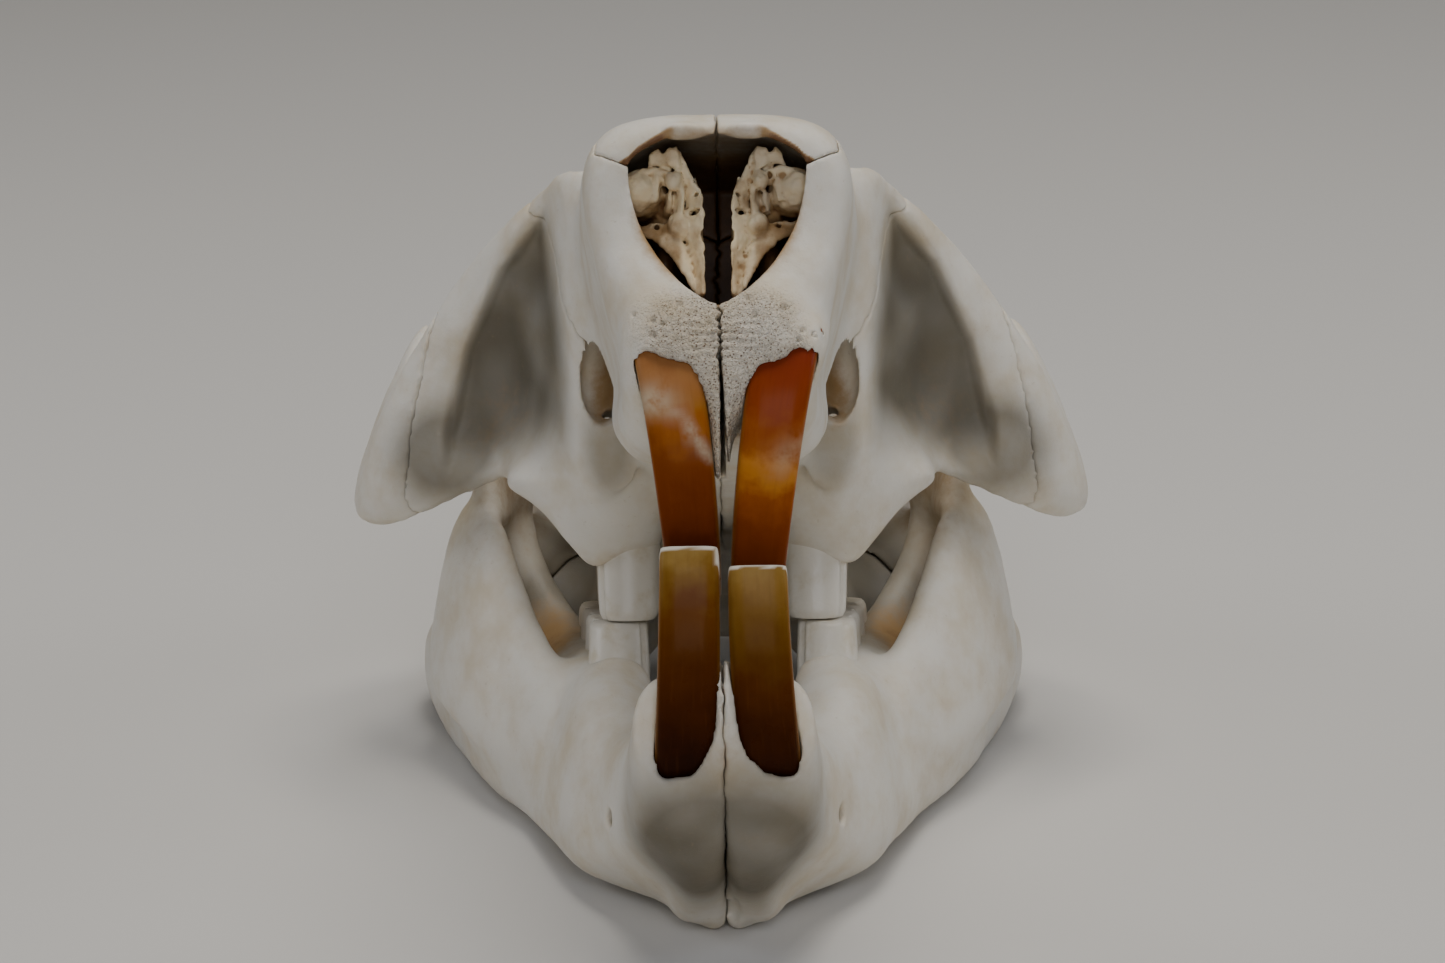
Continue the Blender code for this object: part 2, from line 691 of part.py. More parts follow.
def column(outline, floor_at, ceiling):
    """Upright prism over an outline in x and y. Its floor is a function of both."""
    outline = np.asarray(outline, float)
    rings = np.empty((2, len(outline), 3))
    rings[:, :, :2] = outline
    rings[0, :, 2] = floor_at(*outline.T)
    rings[1, :, 2] = ceiling
    return facing_out(*closed_rings(rings))


def grown_outline(outline, grow):
    """The outline moved outwards by grow along its corners' normals."""
    outline = np.asarray(outline, float)
    ahead = np.roll(outline, -1, 0) - outline
    ahead /= np.linalg.norm(ahead, axis=1)[:, None]
    back = np.roll(ahead, 1, 0)
    corner = np.stack([ahead[:, 1] + back[:, 1], -ahead[:, 0] - back[:, 0]], 1)
    corner /= np.linalg.norm(corner, axis=1)[:, None]
    area = np.sum(outline[:, 0] * np.roll(outline[:, 1], -1) - outline[:, 1] * np.roll(outline[:, 0], -1))
    return outline + corner * grow * np.sign(area)


def nasal_column(grow=0.0):
    """Holds the left nasal bone: broad in front, ending behind in a rounded V."""
    outline = ((-3, -12), (15.4, -12), (15.4, 3), (13.4, 20), (12.3, 34), (10.6, 43), (6.5, 48.5), (-3, 50.5))
    return column(grown_outline(outline, grow), lambda x, y: -8.2 + 0.46 * x - grow + 0.13 * y, 40)


def frontal_column(grow=0.0):
    """Holds the left frontal bone, from the nasal's end to the braincase."""
    outline = ((-3, 47.5), (17.4, 47.5), (18.5, 58), (26, 70), (30, 100), (-3, 100))
    return column(grown_outline(outline, grow), lambda x, y: -6.0 - grow - 0.2 * (y - 48), 40)


def capsule_shape(grow=0.0):
    """Holds the left ear capsule."""
    return lobe((16.8, 108, -42), (10.6 + grow, 12.8 + grow, 12.0 + grow), spin=-18)


def clipped(whole, name, keep=(), drop=()):
    """A copy of the whole, cut down to what lies in every keep shape and in no drop shape."""
    obj = helper_object(name, whole.data.copy())
    for operation, shapes in (("INTERSECT", keep), ("DIFFERENCE", drop)):
        for shape in shapes:
            tool = helper_object("tool", mesh_of("tool", [shape]))
            boolean(obj, tool, operation)
            bpy.data.objects.remove(tool)
    largest_body(obj)
    return obj


def cranium_parts():
    """The bones of the upper skull. Each is a clipped copy of the whole."""
    whole = make_cranium()
    parts = {}
    for side, word in SIDES:
        flip = (lambda shape: shape) if side > 0 else other_side
        half = flip(behind((GAP / 2, 0, 0), (1, 0, 0)))
        front = flip(before(*SNOUT_SUTURE, grow=-GAP / 2))
        past_snout = flip(behind(*SNOUT_SUTURE, grow=-GAP / 2))
        fore = flip(before(*VAULT_SUTURE, grow=-GAP / 2))
        aside = flip(behind(*CHEEK_SUTURE, grow=-GAP / 2))
        inside = flip(before(*CHEEK_SUTURE, grow=-GAP / 2))
        ahead_of_root = flip(before(*ARCH_SUTURE, grow=-GAP / 2))
        # the region that the cheek suture may cut, so that it spares the snout and the vault
        cheek_room = flip(block((28, 50, -45), (70, 104, 12)))
        nasal, nasal_room = flip(nasal_column()), flip(nasal_column(GAP))
        frontal, frontal_room = flip(frontal_column()), flip(frontal_column(GAP))
        parts[f"nasal_{word}"] = clipped(whole, "nasal", keep=[half, nasal])
        parts[f"premaxilla_{word}"] = clipped(
            whole, "premaxilla", keep=[half, front], drop=[nasal_room, upper_incisor(side, GAP)]
        )
        parts[f"frontal_{word}"] = clipped(whole, "frontal", keep=[half, frontal, fore], drop=[nasal_room])
        parts[f"jugal_{word}"] = clipped(whole, "jugal", keep=[cheek_room, aside, ahead_of_root])
        maxilla = clipped(
            whole, "maxilla", keep=[half, past_snout, fore, inside], drop=[nasal_room, frontal_room]
        )
        add_to(maxilla, [flip(tooth) for tooth in upper_teeth()])
        parts[f"maxilla_{word}"] = maxilla
        capsule = clipped(whole, "capsule", keep=[half, flip(capsule_shape())])
        parts[f"ear_capsule_{word}"] = capsule
    capsules = both_sides([capsule_shape(GAP)])
    arch_roots = both_sides([behind(*ARCH_SUTURE, grow=-GAP / 2)])
    vault = [behind(*VAULT_SUTURE, grow=-GAP / 2), before(*NECK_SUTURE, grow=-GAP / 2)]
    neck = [behind(*NECK_SUTURE, grow=-GAP / 2)]
    parts["braincase"] = clipped(whole, "braincase", keep=vault + arch_roots, drop=capsules)
    parts["occipital"] = clipped(whole, "occipital", keep=neck, drop=capsules)
    bpy.data.objects.remove(whole)
    return parts


def dentary_shapes():
    """The left half of the lower jaw."""
    return [
        # body, from the incisor's socket to the angle
        plate(
            (
                (4.2, 11.5, -65),
                (4.8, 20, -66),
                (6.5, 31, -68),
                (10.5, 42, -67),
                (13.6, 52, -58.5),
                (15, 63, -54.5),
                (17, 76, -50),
                (20, 88, -46),
            ),
            (
                (4.6, 12.0, -79.5),
                (4.6, 19.5, -86.0),
                (5.0, 31, -91),
                (7.0, 42, -93),
                (15, 51, -87),
                (20, 60, -81.5),
                (25.5, 71, -75.5),
                (31, 83, -69.3),
            ),
            (7.0, 7.4, 7.6, 7.6, 7.2, 6.4, 5.4, 4.4),
            square=2.6,
        ),
        # ridge that rises between the incisors and closes over the lower inner corner of each
        plate(
            ((0, 4.6, -65), (0, 5.4, -70.5), (0, 8.6, -75.3), (0, 13.0, -80.5)),
            ((0, 14, -63), (0, 15, -70), (0, 17, -76), (0, 20, -82)),
            (0.8, 2.0, 3.6, 5.6),
            square=2.6,
        ),
        # chin
        plate(
            ((1.5, 30, -80), (2.0, 40, -82), (3.0, 50, -80)),
            ((2.6, 33, -91.2), (3.0, 43, -93.9), (4.0, 49, -92.5)),
            (3.2, 4.4, 3.4),
        ),
        # bone round the roots of the cheek teeth
        plate(
            ((13.4, 55, -55.5), (14.0, 62, -54.8), (15.2, 74, -51.5), (16.8, 86, -48.5), (17.5, 91, -47)),
            ((15, 54, -70), (16, 62, -71), (18, 74, -68), (21, 86, -62), (22, 91, -58)),
            (4.6, 5.6, 5.6, 5.0, 3.4),
            square=2.8,
        ),
        # upright branch: it leaves the body, flares outwards and turns in again towards the joint
        plate(
            (
                (21, 62, -58),
                (25.5, 68.5, -48),
                (30.6, 73, -33),
                (34.5, 80, -29),
                (35.2, 87, -29),
                (32.4, 93, -29),
                (29.5, 95.5, -29),
            ),
            (
                (22, 64, -72),
                (29, 72, -69),
                (34.5, 78, -63),
                (38.6, 87, -57),
                (39.8, 94, -53),
                (37, 98.5, -46),
                (33, 98.5, -38),
            ),
            (3.6, 3.2, 2.8, 2.6, 2.6, 2.6, 2.8),
        ),
        # coronoid process
        plate(
            ((32, 74.5, -33), (32.5, 77.5, -22), (32.3, 80, -13), (32.0, 85, -6.5)),
            ((31.5, 91, -31), (31.8, 89.5, -23), (32.1, 87.5, -15), (32.0, 88.5, -8.5)),
            (2.6, 2.1, 1.8, 1.3),
        ),
        # outer wall below the upright branch
        plate(
            ((24, 70, -57), (29, 79, -54), (34, 88, -51)),
            ((25.5, 71, -75), (30, 81, -70.4), (34, 89.5, -65.2)),
            (4.2, 4.0, 3.4),
        ),
        # floor of the pocket between the teeth and the upright branch
        plate(
            ((18, 66, -57), (20, 76, -54), (24, 86, -50), (28, 93, -44)),
            ((25, 68, -61), (31, 76, -59), (36, 86, -55), (37, 93, -50)),
            (3.0, 3.2, 3.0, 2.6),
        ),
        # inner shelf that carries the row of teeth back to the joint
        rod(((19, 84, -50), (24, 91, -43), (28, 94, -35), (29.5, 93.5, -28)), (3.0, 3.0, 3.0, 2.8)),
        # jaw joint
        lobe((29.4, 92.6, -25.2), (3.4, 5.8, 3.2), spin=-10, lean=-12),
        # angle of the jaw
        plate(
            ((27, 78, -50), (34.5, 89, -46), (38.5, 98.5, -42), (40.5, 106, -40.5), (41, 112.5, -42.5)),
            (
                (30.8, 84.5, -69.4),
                (34.9, 94.3, -63.9),
                (38.5, 102.3, -58.2),
                (40.6, 107.5, -52.8),
                (JAW_HALF, 113.0, -47.3),
            ),
            (3.2, 2.8, 2.4, 2.2, 1.6),
        ),
        rod(
            ((25, 73, -72), (29, 84.5, -67.2), (33.1, 94.3, -61.7), (36.8, 102, -56.3)),
            (2.6, 2.6, 2.6, 2.4),
        ),
    ]


def dentary_part(side):
    """One half of the lower jaw with its cheek teeth, standing on two small flats."""
    whole = skinned(joined("dentary", dentary_shapes()))
    heal_creases(whole, rounds=22, evenly=4)
    points = read_points(whole.data)
    # hollow outer face, where the chewing muscle ends
    points = press(points, (31, 88, -54), (9, 17, 12), (-2.2, 0, 0))
    # the chin narrows to a keel
    points[:, 0] *= 1 - KEEL_SHARE * smoothstep(-83, -91, points[:, 2]) * smoothstep(56, 44, points[:, 1])
    write_points(whole.data, points)
    slimmed(whole, DENTARY_TRIANGLES)
    add_to(whole, lower_teeth())
    down = np.array([0, math.sin(REST_TILT), -math.cos(REST_TILT)])
    standing = before(down * -REST_LEVEL, down)
    half = behind((GAP / 2, 0, 0), (1, 0, 0))
    openings = [
        # nerve hole in the side of the chin, and the notch below it between the halves
        rod(((20, 33, -80.5), (12, 39, -79.5)), (1.9, 1.0)),
        lobe((0.6, 35, -95.0), (1.7, 7.0, 4.4)),
    ]
    if side < 0:
        turn_over(whole)
        half = other_side(half)
        openings = [other_side(shape) for shape in openings]
    part = clipped(whole, "dentary", keep=[half, standing], drop=openings + [lower_incisor(side, GAP)])
    bpy.data.objects.remove(whole)
    return part


def turn_over(obj):
    """Mirrors the object's mesh across the middle plane."""
    points, faces = other_side((read_points(obj.data), [tuple(p.vertices) for p in obj.data.polygons]))
    mesh = bpy.data.meshes.new(obj.name)
    mesh.from_pydata(points.tolist(), [], faces)
    obj.data = mesh


def add_to(obj, shapes):
    """Joins the shapes to the object by one Boolean union."""
    pieces = bpy.data.collections.new("added")
    bpy.context.scene.collection.children.link(pieces)
    for shape in shapes:
        pieces.objects.link(bpy.data.objects.new("added_piece", mesh_of("piece", [shape])))
    union = obj.modifiers.new("union", "BOOLEAN")
    union.operation = "UNION"
    union.solver = "EXACT"
    union.operand_type = "COLLECTION"
    union.collection = pieces
    applied(obj)
    for piece in list(pieces.objects):
        bpy.data.objects.remove(piece)
    bpy.data.collections.remove(pieces)


def turbinate_part(side):
    """The scrolls of thin bone inside one half of the nose, joined along a standing leaf."""
    shapes = [
        # outer dome and its tail
        lobe((9.3, 9.2, -4.6), (2.8, 5.2, 2.6), spin=8),
        rod(((9.3, 9, -4.8), (9.2, 20, -4.2), (8.8, 32, -3.6)), (2.4, 2.6, 2.3)),
        # floor of the hollow beside it, and the flange that joins them
        lobe((6.2, 15.8, -6.4), (3.1, 6.8, 3.9)),
        plate(
            ((9.6, 5.4, -2.8), (7.9, 5.0, -2.8), (5.5, 5.2, -3.9)),
            ((9.6, 9, -4), (8, 9, -4.6), (5.9, 8, -5)),
            (0.8, 0.8, 0.8),
        ),
        # band along the slot in the middle, from the roof to the floor, and its tail
        plate(
            ((4.7, 5.2, 0.2), (3.6, 5.0, -3.4), (2.8, 4.9, -8.0), (2.8, 4.8, -13.5), (2.8, 5.0, -18.6)),
            ((5.6, 6.6, -0.6), (4.6, 6.8, -4.0), (4.5, 7.6, -8.4), (3.8, 7.2, -13.5), (3.2, 7.0, -18.4)),
            (0.7, 0.7, 0.7, 0.7, 0.6),
        ),
        plate(
            ((3.3, 6, -3), (3.3, 6, -10), (3.1, 6, -18.5)),
            ((3.6, 32, -3), (3.5, 32, -10), (3.3, 32, -15)),
            (0.8, 0.8, 0.7),
        ),
        # slanting plate below, from the outer wall down to the floor
        plate(
            ((11.2, 10.5, -8.4), (8.8, 8.8, -8.3), (5.4, 7.0, -9.8), (3.5, 6.2, -14.4)),
            ((11.0, 8.6, -9.4), (8.4, 7.4, -10.9), (4.9, 6.1, -15.0), (3.1, 5.6, -18.2)),
            (0.7, 0.75, 0.75, 0.6),
        ),
        # ragged leaf below the roof, and its tail
        plate(
            ((8.6, 6.2, -1.7), (6.6, 5.4, -1.7), (4.6, 5.0, -3.0)),
            ((8.4, 5.4, -0.3), (6.8, 5.1, 0.5), (4.9, 5.0, 0.8)),
            (0.7, 0.7, 0.7),
        ),
        rod(((6.4, 5.8, -1.9), (6.4, 18, -0.8), (6.4, 31, 0.2)), (0.8, 1.3, 1.1)),
    ]
    if side < 0:
        shapes = [other_side(shape) for shape in shapes]
    whole = skinned(joined("turbinate", shapes), SCROLL_VOXEL)
    slimmed(whole, TURBINATE_TRIANGLES)
    part = clipped(whole, "turbinate", keep=[nose_cavity(inset=CAVITY_INSET)])
    bpy.data.objects.remove(whole)
    return part


def block(low, high):
    """Box between two corners."""
    x, y, z = np.meshgrid(*([low[k], high[k]] for k in range(3)), indexing="ij")
    corners = np.stack([x.ravel(), y.ravel(), z.ravel()], 1).astype(float)
    faces = [(0, 1, 3, 2), (4, 6, 7, 5), (0, 4, 5, 1), (2, 3, 7, 6), (0, 2, 6, 4), (1, 5, 7, 3)]
    return facing_out(corners, faces)


def finished(name, mesh, material, rest):
    """The named part in metres, in the finish given, carried by the rest empty."""
    write_points(mesh, read_points(mesh) * MM)
    obj = bpy.data.objects.new(name, mesh)
    bpy.context.scene.collection.objects.link(obj)
    mesh.name = name
    mesh.materials.clear()
    mesh.materials.append(material)
    mesh.shade_smooth()
    mesh.set_sharp_from_angle(angle=SHARP_ANGLE)
    obj.parent = rest
    return obj


def finish_material(name, colour, roughness):
    """Plain material of one colour, with its roughness."""
    material = bpy.data.materials.new(name)
    material.use_nodes = True
    shader = material.node_tree.nodes["Principled BSDF"]
    shader.inputs["Base Color"].default_value = (*colour, 1.0)
    shader.inputs["Roughness"].default_value = roughness
    return material


def build():
    """Makes every node in its place."""
    for obj in list(bpy.data.objects):
        bpy.data.objects.remove(obj)
    bone = finish_material(*BONE)
    scroll_bone = finish_material(*SCROLL_BONE)
    upper_enamel = finish_material(*ENAMEL_UPPER)
    lower_enamel = finish_material(*ENAMEL_LOWER)
    rest = bpy.data.objects.new("rest", None)
    bpy.context.scene.collection.objects.link(rest)
    rest.rotation_euler = (-REST_TILT, 0, 0)
    rest.location = (0, REST_BACK * MM, -REST_LEVEL * MM)

    made = [(name, obj, bone) for name, obj in cranium_parts().items()]
    for side, word in SIDES:
        made.append((f"dentary_{word}", dentary_part(side), bone))
        made.append((f"turbinate_{word}", turbinate_part(side), scroll_bone))
        upper = helper_object("upper", mesh_of("upper", [upper_incisor(side)]))
        lower = helper_object("lower", mesh_of("lower", [lower_incisor(side)]))
        made.append((f"upper_incisor_{word}", upper, upper_enamel))
        made.append((f"lower_incisor_{word}", lower, lower_enamel))
    for name, obj, material in made:
        mesh = obj.data
        bpy.data.objects.remove(obj)
        finished(name, mesh, material, rest)


if __name__ == "__main__":
    build()
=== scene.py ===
"""Looks of the beaver skull: bone, enamel and the scrolls in the nose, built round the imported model.

The bones are worked out in the cranial frame, in millimetres: x to the animal's left, y backwards from the
front rim of the nose, z up. Only at the end does placed() tip them up by REST_TILT and turn them to metres.
"""

import itertools
import json
import math

import bpy
import numpy as np
from mathutils import Matrix, Vector

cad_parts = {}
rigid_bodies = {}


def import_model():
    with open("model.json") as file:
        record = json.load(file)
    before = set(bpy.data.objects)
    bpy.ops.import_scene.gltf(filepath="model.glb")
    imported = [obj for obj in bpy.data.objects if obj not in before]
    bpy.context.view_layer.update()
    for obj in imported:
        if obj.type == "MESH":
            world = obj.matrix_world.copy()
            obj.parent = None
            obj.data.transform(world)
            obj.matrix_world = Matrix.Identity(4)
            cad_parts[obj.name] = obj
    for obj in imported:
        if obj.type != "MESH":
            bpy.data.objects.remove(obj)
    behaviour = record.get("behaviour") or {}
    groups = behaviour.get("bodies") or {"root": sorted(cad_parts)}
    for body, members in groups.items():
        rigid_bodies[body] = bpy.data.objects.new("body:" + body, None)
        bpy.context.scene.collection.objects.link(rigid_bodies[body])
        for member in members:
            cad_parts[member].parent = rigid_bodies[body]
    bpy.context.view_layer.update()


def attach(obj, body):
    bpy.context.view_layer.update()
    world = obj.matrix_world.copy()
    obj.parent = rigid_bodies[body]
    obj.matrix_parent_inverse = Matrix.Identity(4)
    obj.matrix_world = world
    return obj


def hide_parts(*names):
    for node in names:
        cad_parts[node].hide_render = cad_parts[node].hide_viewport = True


bl_info = {
    "name": "Beaver skull",
    "version": (1, 0, 0),
    "blender": (4, 5, 0),
    "location": "3D View > Sidebar > Skull",
    "description": "Bones, teeth and stage of a beaver skull that rests on its lower jaw",
    "category": "Mesh",
}

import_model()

MM = 0.001
REST_TILT = math.radians(31.0)
# floor's level once the skull is tipped, and how far it is moved back to stand over its origin
REST_LEVEL = -102.4
REST_BACK = -37.6
# how far a cutting block reaches past its suture
REACH = 200.0
# where the toothed suture of the snout ends, from the middle of its plane
SEAM_END = 11.0
SEAM_GAP = 0.14
# gap between an incisor and its socket
SOCKET_GAP = 0.12
# how far the bone over an incisor's root stands in front of it
UPPER_COVER = 0.9
LOWER_COVER = 1.0
# and how far in its back lies from the front of the tooth
COVER_BACK = 2.0
BITE_GAP = 0.3
SIDES = ((1, "left"), (-1, "right"))
# turns a point of the left side into its twin on the right
MIRROR = np.array([-1.0, 1.0, 1.0])

# planes of the sutures: a point and the direction towards the back
SNOUT_SUTURE = ((0, 46, 6), (0, 42, -13))
VAULT_SUTURE = ((0, 85, 0), (0, 48, 8))
NECK_SUTURE = ((0, 121.5, 2), (0, 47, -9.5))
CHEEK_SUTURE = ((37.5, 62, -6), (0.62, 0.62, 0.356))
ARCH_SUTURE = ((38.5, 96.5, -18), (-0.8, 0.6, 0))

NOSE_TOP = 3.6
VAULT_TOP = 9.8
ROSTRUM_HALF = 20.8
INTERORBITAL_HALF = 13.0
BRAINCASE_HALF = 29.0
ARCH_HALF = 50.3
JAW_HALF = 41.5

APERTURE_HALF = 11.3
APERTURE_DEPTH = 22.0
CAVITY_LENGTH = 38.0

INCISOR_WIDTH = 8.6
INCISOR_DEPTH = 7.4
UPPER_ARC = (23.8, -33.0, 26.0)
LOWER_ARC = (34.4, -54.7, 31.8)
# powers of the superellipse of an incisor's section, across it and from front to back
INCISOR_POWERS = (4.6, 4.0)
# where an incisor's arc starts and ends, in degrees, and how wide it is there against INCISOR_WIDTH
UPPER_SWEEP = (-20.0, 65.0)
UPPER_WIDTHS = (1.06, 0.83)
LOWER_SWEEP = {1: (66.0, -1.8), -1: (66.0, -6.4)}
LOWER_WIDTHS = (1.04, 0.93)
# how many degrees shorter the worn face ends on the inner side
UPPER_BEVEL = 20.0
LOWER_BEVEL = 22.0
# where each incisor stands across the head at its root and tip, by side: the right ones lean in less
UPPER_ACROSS = {1: (8.7, 4.4), -1: (-6.95, -3.45)}
LOWER_ACROSS = {1: (6.5, 4.4), -1: (-5.25, -4.05)}
# edge of the bone over each incisor: its angle on the arc, by the place across, outside -1 and inside 1
UPPER_RIM = {
    -1: (
        (-1.2, -12.0),
        (-1, -12.3),
        (-0.6, -12.6),
        (-0.25, -10.2),
        (0.35, -9.3),
        (0.75, -5.8),
        (0.9, -2.2),
        (1, 8.0),
    ),
    1: (
        (-1.2, -8.0),
        (-1, -8.6),
        (-0.86, -11.0),
        (-0.35, -12.3),
        (0, -9.8),
        (0.55, -7.8),
        (0.78, -5.0),
        (0.92, -1.5),
        (1, 7.0),
    ),
}
LOWER_RIM = (
    (-1.2, 44.0),
    (-1, 46.0),
    (-0.5, 48.3),
    (0.15, 46.7),
    (0.5, 42.6),
    (0.75, 38.3),
    (0.9, 33.5),
    (1, 28.0),
    (1.15, 22.0),
)

BITE_FRONT_Y = 57.0
BITE_FRONT_Z = -50.5
BITE_RISE = 0.28
# cheek teeth from front to back: y, x, length and width
UPPER_TEETH = (
    (61.5, 12.6, 8.8, 8.6),
    (69.4, 13.2, 7.4, 7.8),
    (76.6, 13.8, 7.0, 7.2),
    (83.4, 14.2, 6.6, 6.4),
)
LOWER_TEETH = (
    (62.0, 14.0, 10.0, 8.4),
    (71.0, 14.8, 8.0, 8.2),
    (78.8, 15.8, 7.6, 7.8),
    (86.0, 16.8, 6.8, 6.8),
)
# power of the superellipse of a cheek tooth's section, its folds' depth as a share and width in radians
TOOTH_POWER = 2.35
FOLD_DEPTH = 0.22
FOLD_WIDTH = 0.11
# how far a cheek tooth reaches into its bone
UPPER_ROOT = 14.0
LOWER_ROOT = 13.0

# camera in the cranial frame, worked out from the photograph's 1445 x 963 pixels
PHOTO_WIDTH = 1445
CAMERA_PITCH = math.radians(12.0)
CAMERA_DISTANCE = 650.0
CAMERA_FOCAL = 5200.0
CAMERA_DROP = 42.7
CAMERA_ASIDE = 0.2
CAMERA_ROLL = math.radians(0.75)

FLOOR_HALF = 2.0

# size of the voxels of the skins in mm: of the fused masses, of the scrolls, and of each bone by its name
MASS_VOXEL = 0.8
SCROLL_VOXEL = 0.22
VOXELS = {
    "premaxilla": 0.28,
    "nasal": 0.3,
    "frontal": 0.35,
    "jugal": 0.38,
    "ear_capsule": 0.38,
    "braincase": 0.46,
}
PLAIN_VOXEL = 0.42

# small single holes in the front of the snout: x, z and radius
SNOUT_PITS = (
    (-8.3, -25.6, 0.62),
    (-8.2, -23.6, 0.48),
    (-6.9, -24.2, 0.46),
    (-1.2, -24.0, 0.55),
    (-10.6, -22.4, 0.4),
    (-4.9, -21.2, 0.6),
    (8.2, -22.1, 0.6),
    (10.4, -25.1, 0.5),
    (9.9, -26.4, 0.45),
    (11.8, -25.5, 0.5),
    (4.4, -23.2, 0.5),
    (3.6, -20.6, 0.55),
)

# distance between the ridges that cross the seam of the snout
RIDGE_SPACING = 1.05

# brown marks in hollows: centre, radii and strength, on both sides; the first, deep inside the nose, is
# painted shade
STAINS_AND_SHADE = (
    ((0, 27, -9), (15.8, 40, 17.0), 6.0),
    ((15.6, 43, -20.5), (3.4, 7.0, 9.0), 0.75),
    ((24, 78, -24), (16, 24, 22), 0.35),
    ((13.5, 72, -44), (9, 22, 8), 0.45),
    ((25, 84, -50), (9, 18, 13), 0.5),
    ((32, 106, -28), (10, 9, 9), 0.5),
    ((0, 126, -29), (9, 12, 9), 1.2),
    ((0, 8, -33), (5, 9, 13), 0.5),
    ((0, 13, -70), (8, 9, 12), 0.35),
)

# painted shade under the chin and in hollows beside the snout, under the cheek arch and round the jaw:
# centre, radii and strength, on both sides
PAINTED_SHADES = (
    ((3, 22, -86), (15.5, 20, 21), 0.95),
    ((15, 44, -30), (5, 9, 11), 0.45),
    ((24, 86, -44), (10, 22, 20), 0.8),
    ((21, 101, -36), (9, 10, 12), 0.9),
    ((37, 67, -25), (12, 16, 10), 0.8),
)


# Curves and solid shapes, each worked out on a grid of two parameters


def smooth_between(keys, values, at):
    """Cubic curve through values at keys, read at the points in at."""
    keys, values = np.asarray(keys, float), np.asarray(values, float)
    if len(keys) == 2:
        slopes = np.repeat((values[1:] - values[:-1]) / (keys[1] - keys[0]), 2, axis=0)
    else:
        slopes = np.gradient(values, keys, axis=0)
    span = np.clip(np.searchsorted(keys, at, side="right") - 1, 0, len(keys) - 2)
    width = keys[span + 1] - keys[span]
    t = (at - keys[span]) / width
    if values.ndim > 1:
        t, width = t[:, None], width[:, None]
    a, b = values[span], values[span + 1]
    return (
        (2 * t**3 - 3 * t**2 + 1) * a
        + (t**3 - 2 * t**2 + t) * width * slopes[span]
        + (3 * t**2 - 2 * t**3) * b
        + (t**3 - t**2) * width * slopes[span + 1]
    )


def signed_power(value, power):
    """The power of the value's size, with the sign of the value."""
    return np.sign(value) * np.abs(value) ** power


def smoothstep(low, high, value):
    """0 below low, 1 above high, and a smooth rise between."""
    t = np.clip((value - low) / (high - low), 0, 1)
    return t * t * (3 - 2 * t)


def grid_quads(rows, columns, around):
    """Corner numbers of the faces of a grid, closed round its columns where around is true."""
    spans = columns if around else columns - 1
    row, column = np.meshgrid(np.arange(rows - 1), np.arange(spans), indexing="ij")
    a = (row * columns + column).ravel()
    b = (row * columns + (column + 1) % columns).ravel()
    return np.stack([a, b, b + columns, a + columns], 1)


def border_loop(rows, columns):
    """Corner numbers once round the border of a grid."""
    return np.concatenate(
        [
            np.arange(columns),
            np.arange(1, rows) * columns + columns - 1,
            (rows - 1) * columns + np.arange(columns - 2, -1, -1),
            np.arange(rows - 2, 0, -1) * columns,
        ]
    )


def shell(top, bottom):
    """Closed thin body between two grids of points, with a wall round their borders."""
    rows, columns, _ = top.shape
    count = rows * columns
    quads = grid_quads(rows, columns, False)
    edge = border_loop(rows, columns)
    ahead = np.roll(edge, -1)
    walls = np.stack([ahead, edge, edge + count, ahead + count], 1)
    points = np.vstack([top.reshape(-1, 3), bottom.reshape(-1, 3)])
    faces = np.vstack([quads, quads[:, ::-1] + count, walls])
    return facing_out((points, faces, np.empty((0, 3), int)))


def lengths(points):
    """How far along a line each of its points lies."""
    return np.concatenate([[0], np.cumsum(np.linalg.norm(np.diff(points, axis=0), axis=1))])


def stations(keys, step, least):
    """Even stations about step apart from the first key to the last, and the keys themselves."""
    count = max(least, int((keys[-1] - keys[0]) / step))
    return np.unique(np.concatenate([np.linspace(keys[0], keys[-1], count), keys]))


def circle(count):
    """Even angles once round."""
    return np.linspace(0, 2 * np.pi, count, endpoint=False)


def closed_rings(rings):
    """Surface through rings of points, shape (rings, around, 3), with a fan at each end, facing outwards."""
    count, around, _ = rings.shape
    points = np.vstack([rings.reshape(-1, 3), rings[0].mean(0), rings[-1].mean(0)])
    quads = grid_quads(count, around, True)
    here = np.arange(around)
    ahead = (here + 1) % around
    first, last, end = count * around, count * around + 1, (count - 1) * around
    fans = np.vstack(
        [
            np.stack([np.full(around, first), ahead, here], 1),
            np.stack([np.full(around, last), end + here, end + ahead], 1),
        ]
    )
    return facing_out((points, quads, fans))


def facing_out(shape):
    """The shape with its faces turned outwards, judged by its signed volume."""
    points, quads, fans = shape
    triangles = np.vstack([quads[:, [0, 1, 2]], quads[:, [0, 2, 3]], fans])
    a, b, c = (points[triangles[:, k]] for k in range(3))
    if np.einsum("ij,ij->i", a, np.cross(b, c)).sum() > 0:
        return shape
    return points, quads[:, ::-1], fans[:, ::-1]


def other_side(shape):
    """The shape mirrored across the middle plane."""
    points, quads, fans = shape
    return points * MIRROR, quads[:, ::-1], fans[:, ::-1]


def on_side(shape, side):
    """The left side's shape where side is 1, its mirror image where side is -1."""
    return shape if side > 0 else other_side(shape)


def both_sides(shapes):
    """The shapes and their mirror images."""
    return shapes + [other_side(s) for s in shapes]


